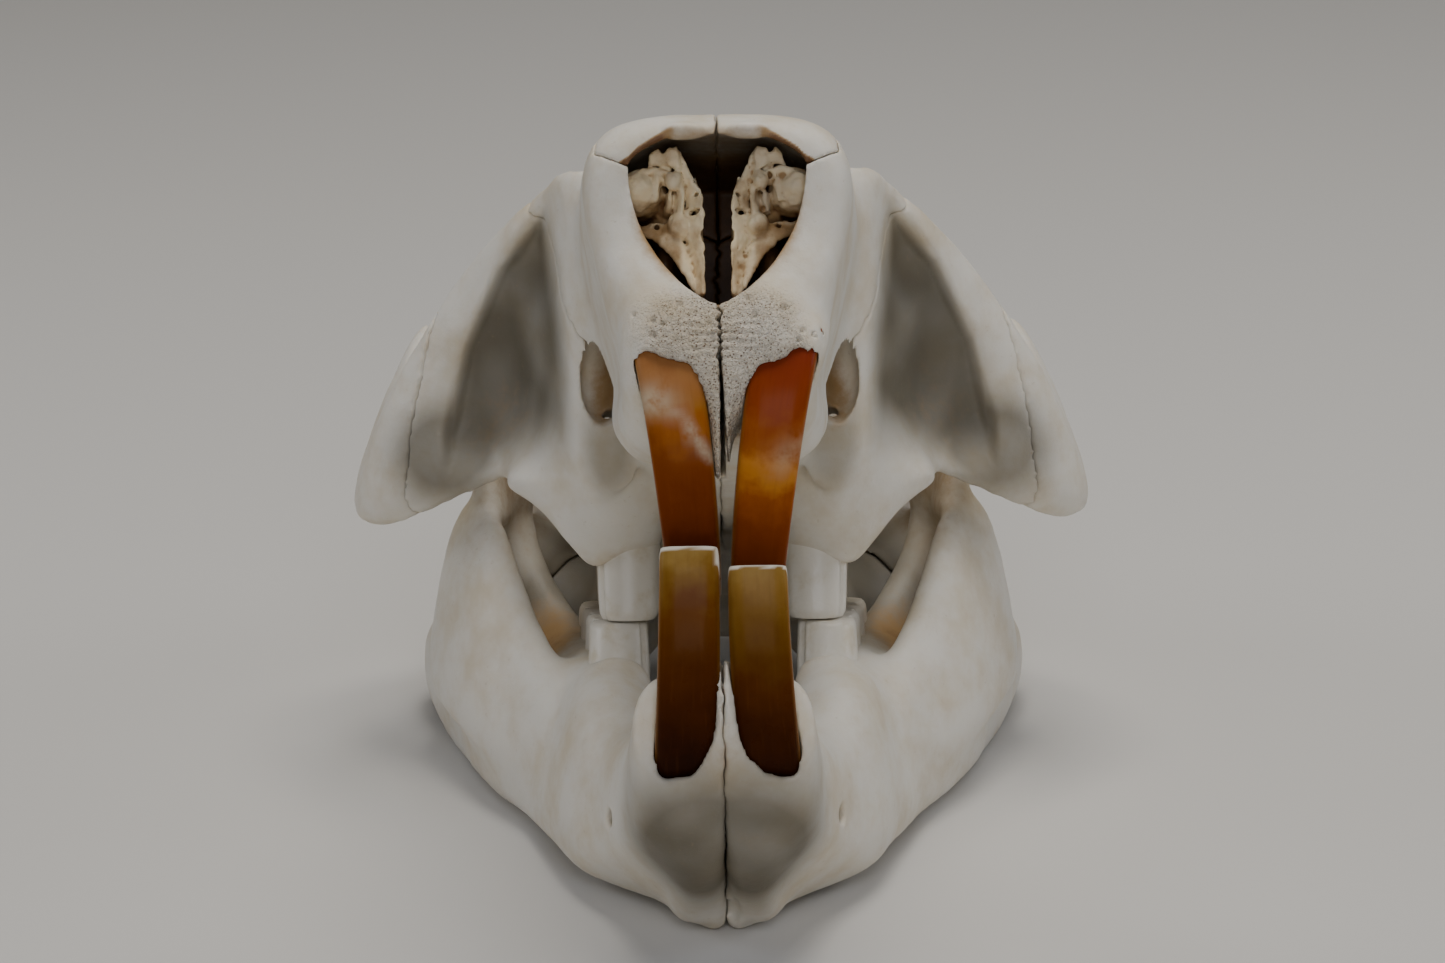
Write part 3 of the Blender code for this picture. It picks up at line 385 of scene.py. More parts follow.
def trunk(sections, around=64, step=1.0):
    """Body along y. A section is its y, top, bottom, half widths at the top, middle and bottom, and power.

    Each ring is a superellipse of that power whose half width changes with height. Cubic curves along y join
    the sections."""
    keys = np.array([s[0] for s in sections], float)
    along = stations(keys, step, 4)
    top, bottom, wide_top, wide_mid, wide_low, square = smooth_between(
        keys, [s[1:] for s in sections], along
    ).T[:, :, None]
    angle = circle(around)[None, :]
    level = signed_power(np.sin(angle), 2 / square)
    half = wide_mid + level * (wide_top - wide_low) / 2 + level**2 * ((wide_top + wide_low) / 2 - wide_mid)
    rings = np.empty((len(along), around, 3))
    rings[..., 0] = half * signed_power(np.cos(angle), 2 / square)
    rings[..., 1] = along[:, None]
    rings[..., 2] = (top + bottom) / 2 + level * (top - bottom) / 2
    return closed_rings(rings)


def plate(edge_a, edge_b, halves, square=2.3, around=32, step=1.0):
    """Plate of bone: a superellipse carried along two edge curves, with its half thickness at each pair."""
    edge_a, edge_b = np.asarray(edge_a, float), np.asarray(edge_b, float)
    keys = lengths((edge_a + edge_b) / 2)
    along = stations(keys, step, 5)
    a, b = smooth_between(keys, edge_a, along), smooth_between(keys, edge_b, along)
    half = smooth_between(keys, np.asarray(halves, float), along)
    centre, rise = (a + b) / 2, (a - b) / 2
    travel = np.gradient(centre, along, axis=0)
    normal = np.cross(travel, rise)
    normal *= (half / np.linalg.norm(normal, axis=1))[:, None]
    angle = circle(around)
    up = signed_power(np.cos(angle), 2 / square)[None, :, None]
    out = signed_power(np.sin(angle), 2 / square)[None, :, None]
    return closed_rings(centre[:, None] + rise[:, None] * up + normal[:, None] * out)


def lobe(centre, radii, spin=0.0, lean=0.0, rows=18, around=28):
    """Ellipsoid from polar and azimuth angles, leaned about x and spun about z, in degrees."""
    polar = np.linspace(0, np.pi, rows)[1:-1, None]
    turn = circle(around)[None, :]
    rings = np.stack(
        [np.sin(polar) * np.cos(turn), np.sin(polar) * np.sin(turn), np.cos(polar) + 0 * turn], axis=-1
    ) * np.asarray(radii, float)
    cx, sx = math.cos(math.radians(lean)), math.sin(math.radians(lean))
    cz, sz = math.cos(math.radians(spin)), math.sin(math.radians(spin))
    tilt = np.array([[1, 0, 0], [0, cx, -sx], [0, sx, cx]])
    swing = np.array([[cz, -sz, 0], [sz, cz, 0], [0, 0, 1]])
    return closed_rings(rings @ (swing @ tilt).T + np.asarray(centre, float))


def rod(points, radii, around=24, step=0.8):
    """Round bar: a circle carried along a smooth curve through the points, with a radius at each."""
    points = np.asarray(points, float)
    keys = lengths(points)
    along = stations(keys, step, 4)
    centre = smooth_between(keys, points, along)
    radius = smooth_between(keys, np.asarray(radii, float), along)[:, None]
    travel = np.gradient(centre, along, axis=0)
    travel /= np.linalg.norm(travel, axis=1)[:, None]
    guide = np.array([0.0, 0.0, 1.0]) if abs(travel[0, 2]) < 0.8 else np.array([0.0, 1.0, 0.0])
    side = np.cross(travel, guide)
    side /= np.linalg.norm(side, axis=1)[:, None]
    rise = np.cross(side, travel)
    angle = circle(around)
    outwards = side[:, None] * np.cos(angle)[None, :, None] + rise[:, None] * np.sin(angle)[None, :, None]
    return closed_rings(centre[:, None] + radius[:, None] * outwards)


def seam_wave(u, v, depth, teeth=0.0):
    """Zigzag of a suture over its plane: waves of 2 to 9 mm in both directions, summed, and fine teeth."""
    fine = np.sin(2.6 * u + 1.1 * np.sin(0.9 * v)) + 0.8 * np.sin(1.37 * v + 2.0 + 0.9 * np.sin(1.7 * u))
    wave = depth * (fine + 0.9 * np.sin(0.71 * u + 0.53 * v + 0.4)) / 2.7
    if not teeth:
        return wave
    # a toothed suture ends where its two bones part below, SEAM_END from the middle of the plane
    wave += depth * teeth / 2.7 * np.sin(5.0 * u + 0.9 * np.sin(1.3 * v) + 1.2 * np.sin(0.8 * u))
    return wave * (0.12 + 0.88 * smoothstep(-SEAM_END - 1.5, -SEAM_END + 1.5, u))


def past(point, normal, grow=0.0, depth=0.5, size=70.0, step=0.6, teeth=0.0):
    """Everything past a suture: a block whose near face is a plane through the point, ruffled by seam_wave.

    Its far face is that plane moved back by REACH. A positive grow moves the near face forward."""
    normal = np.asarray(normal, float) / np.linalg.norm(normal)
    guide = np.array([1.0, 0.0, 0.0]) if abs(normal[0]) < 0.7 else np.array([0.0, 1.0, 0.0])
    side = np.cross(normal, guide)
    side /= np.linalg.norm(side)
    rise = np.cross(normal, side)
    reach = np.arange(-size, size + step, step)
    u, v = np.meshgrid(reach, reach, indexing="ij")
    # the wave is odd in the normal's sign, so that both sides of one suture share one ruffled face
    facing = 1.0 if (normal[1], normal[0]) > (0, 0) else -1.0
    height = facing * seam_wave(u * facing, v, depth, teeth) - grow
    near = np.asarray(point, float) + u[..., None] * side + v[..., None] * rise + height[..., None] * normal
    count = len(reach)
    edge = border_loop(count, count)
    near = near.reshape(-1, 3)
    far = near[edge] + normal * REACH
    points = np.vstack([near, far, far.mean(0)])
    quads = grid_quads(count, count, False)
    here = np.arange(len(edge))
    ahead = (here + 1) % len(edge)
    start = count * count
    walls = np.stack([edge[here], start + here, start + ahead, edge[ahead]], 1)
    cap = np.stack([start + here, np.full(len(edge), start + len(edge)), start + ahead], 1)
    return facing_out((points, np.vstack([quads, walls]), cap))


def short_of(point, normal, grow=0.0, depth=0.5, size=70.0, **fine):
    """Everything on the near side of the same suture."""
    return past(point, -np.asarray(normal, float), grow, depth, size, **fine)


def block(low, high):
    """Box between two corners."""
    x, y, z = np.meshgrid(*([low[k], high[k]] for k in range(3)), indexing="ij")
    corners = np.stack([x.ravel(), y.ravel(), z.ravel()], 1).astype(float)
    quads = np.array([(0, 1, 3, 2), (4, 6, 7, 5), (0, 4, 5, 1), (2, 3, 7, 6), (0, 2, 6, 4), (1, 5, 7, 3)])
    return facing_out((corners, quads, np.empty((0, 3), int)))


def column(outline, grow, floor_at, ceiling=40.0, wave=0.45):
    """Upright prism over an outline in x and y, grown by grow and ruffled as a suture is.

    It reaches from the height that floor_at gives for x and y up to the ceiling."""
    outline = np.asarray(outline, float)
    closed = np.vstack([outline, outline[:1]])
    keys = lengths(closed)
    along = np.arange(0, keys[-1], 0.5)
    line = np.stack([np.interp(along, keys, closed[:, k]) for k in range(2)], 1)
    ahead = np.roll(line, -1, 0) - np.roll(line, 1, 0)
    ahead /= np.linalg.norm(ahead, axis=1)[:, None]
    across = np.stack([ahead[:, 1], -ahead[:, 0]], 1)
    area = np.sum(line[:, 0] * np.roll(line[:, 1], -1) - line[:, 1] * np.roll(line[:, 0], -1))
    # the ruffle fades out at the front, where the bone's edge is clean
    ruffle = seam_wave(along, 0.6 * along, wave) * smoothstep(0, 14, line[:, 1])
    line = line + across * (grow * np.sign(area) + ruffle)[:, None]
    rings = np.empty((2, len(line), 3))
    rings[:, :, :2] = line
    rings[0, :, 2] = floor_at(line[:, 0], line[:, 1])
    rings[1, :, 2] = ceiling
    return closed_rings(rings)


# Meshes and what is done to them


def mesh_of(name, shapes):
    """One mesh that holds every shape, still in millimetres."""
    points, faces, start = [], [], 0
    for shape_points, quads, fans in shapes:
        points.append(shape_points)
        faces += (quads + start).tolist() + (fans + start).tolist()
        start += len(shape_points)
    mesh = bpy.data.meshes.new(name)
    mesh.from_pydata(np.vstack(points).tolist(), [], faces)
    return mesh


def linked(name, mesh):
    """A new object in the scene."""
    obj = bpy.data.objects.new(name, mesh)
    bpy.context.scene.collection.objects.link(obj)
    return obj


def removed(obj):
    """Deletes the object, and its mesh where nothing else uses it."""
    mesh = obj.data
    bpy.data.objects.remove(obj)
    if mesh.users == 0:
        bpy.data.meshes.remove(mesh)


def applied(obj):
    """Turns the object's modifiers into its mesh."""
    graph = bpy.context.evaluated_depsgraph_get()
    mesh = bpy.data.meshes.new_from_object(obj.evaluated_get(graph))
    obj.modifiers.clear()
    old = obj.data
    obj.data = mesh
    if old.users == 0:
        bpy.data.meshes.remove(old)


def joined(name, shapes):
    """One closed body made of all the shapes by one union."""
    obj = linked(name, mesh_of(name, shapes[:1]))
    pieces = bpy.data.collections.new("added")
    bpy.context.scene.collection.children.link(pieces)
    for shape in shapes[1:]:
        pieces.objects.link(bpy.data.objects.new("added_piece", mesh_of("piece", [shape])))
    union = obj.modifiers.new("union", "BOOLEAN")
    union.operation = "UNION"
    union.solver = "MANIFOLD"
    union.operand_type = "COLLECTION"
    union.collection = pieces
    applied(obj)
    for piece in list(pieces.objects):
        removed(piece)
    bpy.data.collections.remove(pieces)
    return obj


def skinned(obj, voxel):
    """Gives the body one even skin."""
    remesh = obj.modifiers.new("skin", "REMESH")
    remesh.mode = "VOXEL"
    remesh.voxel_size = voxel
    applied(obj)
    return obj


def rounded(obj):
    """Splits each face in four and rounds the surface."""
    smooth = obj.modifiers.new("round", "SUBSURF")
    smooth.levels = 1
    smooth.render_levels = 1
    applied(obj)
    return obj


def read_points(mesh):
    """The mesh's points, a row each."""
    points = np.empty(len(mesh.vertices) * 3, np.float32)
    mesh.vertices.foreach_get("co", points)
    return points.reshape(-1, 3).astype(float)


def write_points(mesh, points):
    """Moves the mesh's points to these rows."""
    mesh.vertices.foreach_set("co", points.astype(np.float32).ravel())
    mesh.update()


def read_edges(mesh):
    """The two point numbers of each edge."""
    edges = np.empty(len(mesh.edges) * 2, np.int32)
    mesh.edges.foreach_get("vertices", edges)
    return edges.reshape(-1, 2)


def read_normals(mesh):
    """The direction out of the surface at each point."""
    normals = np.empty(len(mesh.vertices) * 3, np.float32)
    mesh.vertex_normals.foreach_get("vector", normals)
    return normals.reshape(-1, 3).astype(float)


def neighbour_mean(points, edges):
    """The mean of each point's neighbours."""
    ends = np.concatenate([edges, edges[:, ::-1]])
    count = np.bincount(ends[:, 0], minlength=len(points))
    total = np.stack(
        [np.bincount(ends[:, 0], points[ends[:, 1], k], minlength=len(points)) for k in range(3)], 1
    )
    return total / np.maximum(count, 1)[:, None]


def heal_creases(obj, rounds, evenly):
    """Fills concave creases as bone does where two masses meet, then smooths evenly."""
    mesh = obj.data
    edges = read_edges(mesh)
    points = read_points(mesh)
    for _ in range(rounds):
        write_points(mesh, points)
        normals = read_normals(mesh)
        pull = neighbour_mean(points, edges) - points
        hollow = np.clip((pull * normals).sum(1), 0, None)
        points = points + 0.9 * hollow[:, None] * normals
    for _ in range(evenly):
        points += 0.5 * (neighbour_mean(points, edges) - points)
    write_points(mesh, points)


def softened(obj, rounds):
    """Rounds off the edges that a cut leaves."""
    edges, points = read_edges(obj.data), read_points(obj.data)
    for _ in range(rounds):
        points += 0.5 * (neighbour_mean(points, edges) - points)
    write_points(obj.data, points)
    return obj


def hollowness(obj, rounds):
    """How hollow the surface is at each point: its distance below the mean of its surroundings, in mm."""
    edges, points = read_edges(obj.data), read_points(obj.data)
    mean = points.copy()
    for _ in range(rounds):
        mean += 0.6 * (neighbour_mean(mean, edges) - mean)
    return ((mean - points) * read_normals(obj.data)).sum(1)


def near(points, centre, radii):
    """1 at the centre, falling smoothly to 0 on the ellipsoid with these radii."""
    reach = ((points - np.asarray(centre, float)) / np.asarray(radii, float)) ** 2
    return np.clip(1 - reach.sum(1), 0, None) ** 2


def press(points, centre, radii, push):
    """Moves the points near the centre by push."""
    return points + near(points, centre, radii)[:, None] * np.asarray(push, float)


def press_both(points, centre, radii, push):
    """Moves the points near the centre by push, and the same on the other side."""
    points = press(points, centre, radii, push)
    return press(points, centre * MIRROR, radii, push * MIRROR)


def boolean(obj, shape, operation):
    """Cuts the object by the shape, or joins them, by this Boolean operation."""
    tool = linked("tool", mesh_of("tool", [shape]))
    modifier = obj.modifiers.new(operation.lower(), "BOOLEAN")
    modifier.operation = operation
    modifier.solver = "MANIFOLD"
    modifier.object = tool
    applied(obj)
    removed(tool)


def clipped(whole, name, keep=(), drop=()):
    """A copy of the whole, cut down to what lies in every keep shape and in no drop shape."""
    obj = linked(name, whole.data.copy())
    for shape in keep:
        boolean(obj, shape, "INTERSECT")
    for shape in drop:
        boolean(obj, shape, "DIFFERENCE")
    return largest_body(obj)


def largest_body(obj):
    """Drops every loose scrap but the body with the most points."""
    mesh = obj.data
    edges = read_edges(mesh)
    label = np.arange(len(mesh.vertices))
    while True:
        low = np.minimum(label[edges[:, 0]], label[edges[:, 1]])
        before = label.copy()
        np.minimum.at(label, edges[:, 0], low)
        np.minimum.at(label, edges[:, 1], low)
        label = label[label]
        if (label == before).all():
            break
    names, counts = np.unique(label, return_counts=True)
    keep = names[counts.argmax()]
    if counts.max() == len(label):
        return obj
    kept = np.flatnonzero(label == keep)
    index = np.full(len(label), -1)
    index[kept] = np.arange(len(kept))
    faces = [[index[v] for v in p.vertices] for p in mesh.polygons if label[p.vertices[0]] == keep]
    fresh = bpy.data.meshes.new(mesh.name)
    fresh.from_pydata(read_points(mesh)[kept].tolist(), [], faces)
    obj.data = fresh
    bpy.data.meshes.remove(mesh)
    return obj


# Random fields, the same each run


def lattice_noise(points, size, seed):
    """Smooth field from -1 to 1: random values on a cubic lattice of this size in mm.

    The values at a cell's corners are blended by smoothstep."""
    table = np.random.default_rng(seed).uniform(-1, 1, (32, 32, 32))
    place = points / size
    cell = np.floor(place).astype(int)
    share = place - cell
    share = share * share * (3 - 2 * share)
    total = np.zeros(len(points))
    for corner in itertools.product((0, 1), repeat=3):
        weight = np.prod(np.where(corner, share, 1 - share), axis=1)
        i, j, k = ((cell + corner) & 31).T
        total += weight * table[i, j, k]
    return total


def pit_field(points, size, seed, radius):
    """Pits: 1 at the random point that each cell of the lattice holds, 0 past radius, in shares of a cell."""
    table = np.random.default_rng(seed).uniform(0, 1, (16, 16, 16, 4))
    place = points / size
    cell = np.floor(place).astype(int)
    deepest = np.zeros(len(points))
    for corner in itertools.product((-1, 0, 1), repeat=3):
        home = cell + corner
        i, j, k = (home & 15).T
        found = table[i, j, k]
        distance = np.linalg.norm(place - home - found[:, :3], axis=1)
        reach = radius * (0.4 + 0.9 * found[:, 3])
        deepest = np.maximum(deepest, 1 - smoothstep(0.35, 1.0, distance / reach))
    return deepest


# The bones of the upper skull


def cranium_shapes():
    """The masses of bone above the jaw."""
    body = trunk(
        (
            (-0.7, NOSE_TOP - 2.6, -23.2, 11.2, 10.8, 7.4, 3.0),
            (-0.1, NOSE_TOP - 1.5, -25.6, 13.4, 12.8, 8.6, 3.3),
            (1.2, NOSE_TOP - 0.4, -28.0, 16.0, 14.2, 9.6, 3.5),
            (3.0, NOSE_TOP + 0.5, -30.4, 17.6, 15.0, 10.4, 3.6),
            (5.5, NOSE_TOP + 1.3, -32.6, 18.8, 15.4, 11.0, 3.6),
            (10.0, NOSE_TOP + 2.2, -35.0, 19.8, 15.4, 11.0, 3.5),
            (20.0, 7.2, -37.0, ROSTRUM_HALF, 15.8, 10.8, 3.3),
            (32.0, 8.6, -36.5, 21.4, 16.4, 10.8, 3.0),
            (44.0, 9.5, -35.5, 20.6, 16.6, 12.5, 2.8),
            (56.0, VAULT_TOP, -36.0, 16.0, 13.0, 14.5, 2.5),
            (67.0, VAULT_TOP - 0.2, -36.0, INTERORBITAL_HALF, 10.0, 15.0, 2.5),
            (78.0, VAULT_TOP - 0.8, -34.0, 14.0, 12.0, 12.5, 2.4),
            (89.0, VAULT_TOP - 2.0, -33.5, 20.0, 22.0, 12.0, 2.3),
            (101.0, 5.8, -37.5, 24.0, 27.5, 15.0, 2.3),
            (112.0, 3.2, -40.0, 26.0, BRAINCASE_HALF, 19.0, 2.4),
            (121.0, -0.8, -41.0, 26.0, BRAINCASE_HALF, 19.0, 2.4),
            (126.5, -7.0, -40.0, 22.0, 26.0, 17.0, 2.3),
        )
    )
    sides = [
        # front root of the cheek arch: the wing between its upper and lower edges
        plate(
            (
                (13, 31, 4),
                (18.5, 34.5, 6.2),
                (21.5, 39.5, 6.6),
                (26, 47, 4.7),
                (32.5, 56, 0.4),
                (38.8, 62.7, -6.4),
                (43.9, 68.3, -13.5),
                (47.4, 73.3, -20.3),
            ),
            (
                (12, 46, -34),
                (17, 52, -35.5),
                (22, 56, -33),
                (27.5, 59.8, -29.8),
                (33, 65, -30.5),
                (39.5, 70.8, -32.2),
                (44.5, 75, -33.2),
                (47.5, 77.5, -33.4),
            ),
            (3.2, 3.3, 3.2, 2.9, 2.7, 2.7, 2.7, 2.4),
        ),
        # cheekbone, with the point behind the eye on its upper edge
        plate(
            (
                (39, 64, -8.5),
                (42, 70, -12.5),
                (42, 76.5, -10),
                (40.5, 81.5, -2.8),
                (42, 87, -9.8),
                (39.5, 94, -14.2),
                (34, 99, -15.2),
            ),
            (
                (44, 71, -32),
                (49, 76.5, -32.8),
                (ARCH_HALF, 80.5, -31),
                (ARCH_HALF - 0.6, 85.5, -29),
                (47.5, 91, -27),
                (41.5, 97, -24.6),
                (35, 101, -23.5),
            ),
            (2.6, 2.7, 2.5, 2.4, 2.4, 2.6, 3.0),
        ),
        # back root of the arch, over the jaw joint
        plate(
            ((18, 90, -13), (27, 91.5, -15), (35, 94, -16), (39, 95, -18)),
            ((18, 104, -17), (27, 104, -19), (34, 103, -20), (38, 100, -21)),
            (4.0, 3.2, 2.8, 2.2),
        ),
        # bone that holds the roots of the cheek teeth
        plate(
            ((13, 50, -30), (14, 58, -28), (15, 70, -26), (15, 82, -26), (13, 90, -29)),
            ((12, 52, -38), (12.6, 59, -41.5), (13.2, 70, -39), (13.8, 82, -36), (13, 89, -34)),
            (4.5, 5.6, 5.4, 4.8, 3.0),
            square=2.8,
        ),
        # lower root of the wing, running down to the first cheek tooth
        rod(((27, 59, -28), (21, 58, -32), (17.5, 58, -37), (15, 60, -41)), (4.0, 4.6, 4.2, 3.4)),
        # ear capsule, ear tube and the spurs beside them
        lobe((16.5, 108, -39), (9.0, 11.5, 9.5), spin=-18),
        rod(((20, 108, -36), (27, 107, -31.5), (33.5, 106, -26)), (5.4, 4.8, 4.3)),
        rod(((20, 117, -34), (20.5, 120, -39), (20.0, 121, -43)), (4.6, 3.2, 1.8)),
        lobe((26.5, 117, -27), (5.5, 6.5, 11.0)),
        # wing plates behind the palate
        plate(
            ((6, 82, -30), (6.5, 92, -30), (8, 101, -32)),
            ((5.6, 86, -40), (6.2, 94, -43), (8, 101, -42)),
            (1.6, 1.3, 1.6),
        ),
        # joint knobs on either side of the spinal opening
        lobe((8.2, 128.5, -31.5), (4.6, 5.6, 7.4), spin=25, lean=-18),
        # ridge over the back of the skull, from the ear to the crown
        rod(
            ((28, 116, -25), (26.5, 120.5, -13), (20.5, 121.5, -5.5), (10, 122, -2.0), (-3, 122, -1.2)),
            (2.6, 2.8, 2.8, 2.8, 3.0),
        ),
        # low ridges that close on the crown
        rod(
            ((9, 66, 2.5), (11, 80, 4.2), (7, 98, 3.6), (2.5, 110, 1.8), (0, 122, -2.6)),
            (1.6, 2.2, 2.4, 2.4, 2.6),
        ),
        # bone sheath of the upper incisor
        rod(
            ((6.2, 4.0, -21), (6.2, 3.0, -26.4), (6.4, 7.0, -30.6), (7.4, 20, -31), (8.5, 32, -28)),
            (5.4, 6.3, 5.9, 6.0, 5.8),
        ),
    ]
    # blade of bone between the incisors
    blade = plate(
        ((0, 6, -22), (0, 8, -29), (0, 9, -35), (0, 10, -42)),
        ((0, -2.2, -23), (0, -3.0, -29), (0, -2.2, -35), (0, 0.4, -43)),
        (4.6, 4.4, 1.9, 0.9),
        square=2.6,
    )
    base = trunk(
        (
            (92, -28, -35.5, 8, 8, 6, 2.4),
            (104, -26, -38.5, 9, 9, 8, 2.4),
            (116, -24, -40.0, 10, 12, 10, 2.4),
            (126, -22, -39.0, 12, 14, 12, 2.4),
            (130, -24, -37.0, 9, 11, 9, 2.2),
        )
    )
    covers = [over_tooth(side, True, -UPPER_COVER, False) for side in (1, -1)]
    return [body, blade, base] + both_sides(sides) + covers


def aperture_half(share):
    """Half width of the nose opening at this share of the way down."""
    return APERTURE_HALF * (1 - np.clip(share, 0, 1) ** 2.6) ** 0.75


def nose_cavity():
    """The hollow behind the nose opening: its outline carried back, its sizes eased by cubic curves."""
    upper = np.linspace(0.0, 0.15, 9)
    share = np.concatenate([[0.0], upper, np.linspace(0.2, 0.95, 26), [0.97, 0.985, 0.995, 1.0]])
    half = aperture_half(share)
    half[0] = 0.0
    half[1:10] = smooth_between((0, 0.05, 0.1, 0.15), (5.6, 8.0, 9.9, 11.05), upper)
    side = np.concatenate([half, -half[-2:0:-1]])
    down = np.concatenate([share, share[-2:0:-1]])
    reach = np.array((-8.0, 1.2, 4.5, 13.0, 26.0, CAVITY_LENGTH))
    along = np.linspace(reach[0], reach[-1], 30)
    wider, ceiling, deeper = (
        smooth_between(reach, values, along)[:, None]
        for values in (
            (1.0, 1.0, 1.03, 1.08, 1.0, 0.72),
            (0.9, 1.0, 2.3, 3.5, 4.4, 3.6),
            (1.0, 1.0, 1.02, 1.04, 0.98, 0.8),
        )
    )
    rings = np.empty((len(along), len(side), 3))
    rings[..., 0] = side * wider
    rings[..., 1] = along[:, None]
    rings[..., 2] = ceiling - down * APERTURE_DEPTH * deeper
    return closed_rings(rings)


def wing_share(points):
    """1 in the three-cornered hollow on the front of the wing, 0 past its edges, seen from the front."""
    level = points[:, 2]
    outer = np.interp(level, (-32, -22.3, -11.6, -2.7, 3.5, 5.5), (38.5, 37.8, 34.7, 29.6, 23.0, 20.0))
    inner = np.interp(level, (-32, -24.4, -13.6, -6.6, 0.5, 5.5), (18.6, 19.4, 20.0, 20.7, 21.8, 22.8))
    across = np.abs(points[:, 0])
    inside = smoothstep(-0.2, 1.5, outer - across) * smoothstep(-0.5, 2.6, across - inner)
    in_front = smoothstep(78, 68, points[:, 1]) * smoothstep(28, 33, points[:, 1])
    return inside * smoothstep(-33, -20, level) * in_front


def sharpen_wing(points):
    """Sinks the hollow of the wing behind a sharp outer edge, without thinning the bone."""
    pushed = points.copy()
    pushed[:, 1] += 4.2 * wing_share(points)
    return pushed


def make_cranium():
    """The whole upper skull as one skin, with its hollows, before it is parted."""
    cranium = skinned(joined("cranium", cranium_shapes()), MASS_VOXEL)
    heal_creases(cranium, rounds=32, evenly=5)
    points = read_points(cranium.data)
    # the front rim is notched back at the sides of the nose opening
    points = press(points, (0, 0, -10), (30, 9, 13), (0, 3.2, 0))
    # hollow front of the wing, where the chewing muscle starts
    points = press_both(points, (23.5, 42, -2), (5.5, 11, 10), (-0.6, 3.4, -0.8))
    points = press_both(points, (25.5, 49, -13), (8.5, 15, 15), (0.4, 5.6, 0))
    points = press_both(points, (31, 56, -21), (11, 15, 13), (0, 4.6, 0))
    points = sharpen_wing(points)
    # groove that runs down from the nerve hole beside the snout
    points = press_both(points, (13.6, 43, -31), (3.4, 10, 8), (-0.8, 2.2, 0))
    # hollow sides of the frontal bones and the pit under the skull
    points = press_both(points, (12, 70, -6), (9, 16, 12), (-2.0, 0, 0))
    points = press(points, (0, 112, -41), (8, 10, 8), (0, 0, 6.0))
    # concave back of the skull
    points = press_both(points, (13, 128, -14), (11, 9, 10), (0, -2.4, 0))
    write_points(cranium.data, points)
    rounded(cranium)
    openings = [nose_cavity()]
    openings += both_sides(
        [
            lobe((14.9, 40.6, -19.4), (3.0, 7.0, 8.6), spin=-20, lean=-16),
            rod(((39, 105, -21.5), (30, 106.5, -29), (21, 108, -35)), (2.7, 2.6, 2.2)),
            rod(((14.0, 36, -24.5), (15.4, 52, -25)), (0.8, 0.8)),
        ]
    )
    openings.append(lobe((0, 128, -28.5), (8.0, 22.0, 7.0), lean=-8))
    for shape in openings:
        boolean(cranium, shape, "DIFFERENCE")
    # rounded tips of the nasal bones and the small knob beside the nerve hole
    knobs = both_sides([lobe((3.9, 0.9, 1.5), (3.5, 1.7, 1.1)), lobe((16.5, 43.6, -23.2), (1.1, 1.3, 1.5))])
    for shape in knobs:
        boolean(cranium, shape, "UNION")
    return cranium


def halves(side, depth, grow, middle=(0.0, 60.0, -15.0), size=84.0, **fine):
    """The half space of one side of the head, past the ruffled middle suture."""
    plane = past if side > 0 else short_of
    return plane(middle, (1, 0, 0), grow, depth, size, **fine)


def nasal_column(grow=0.0):
    """Holds the left nasal bone: broad in front, ending behind in a rounded V."""
    front = ((-3, -12), (15.4, -12), (15.4, 3), (13.4, 20))
    outline = front + ((12.3, 34), (10.6, 43), (6.5, 48.5), (-3, 50.5))
    return column(outline, grow, lambda x, y: -8.2 + 0.46 * x - grow + 0.13 * y)


def frontal_column(grow=0.0):
    """Holds the left frontal bone, from the nasal's end to the braincase."""
    outline = ((-3, 47.5), (17.4, 47.5), (18.5, 58), (26, 70), (30, 100), (-3, 100))
    return column(outline, grow, lambda x, y: -6.0 - grow - 0.2 * (y - 48))


def capsule_shape(grow=0.0):
    """Holds the left ear capsule."""
    return lobe((16.8, 108, -42), (10.6 + grow, 12.8 + grow, 12.0 + grow), spin=-18)


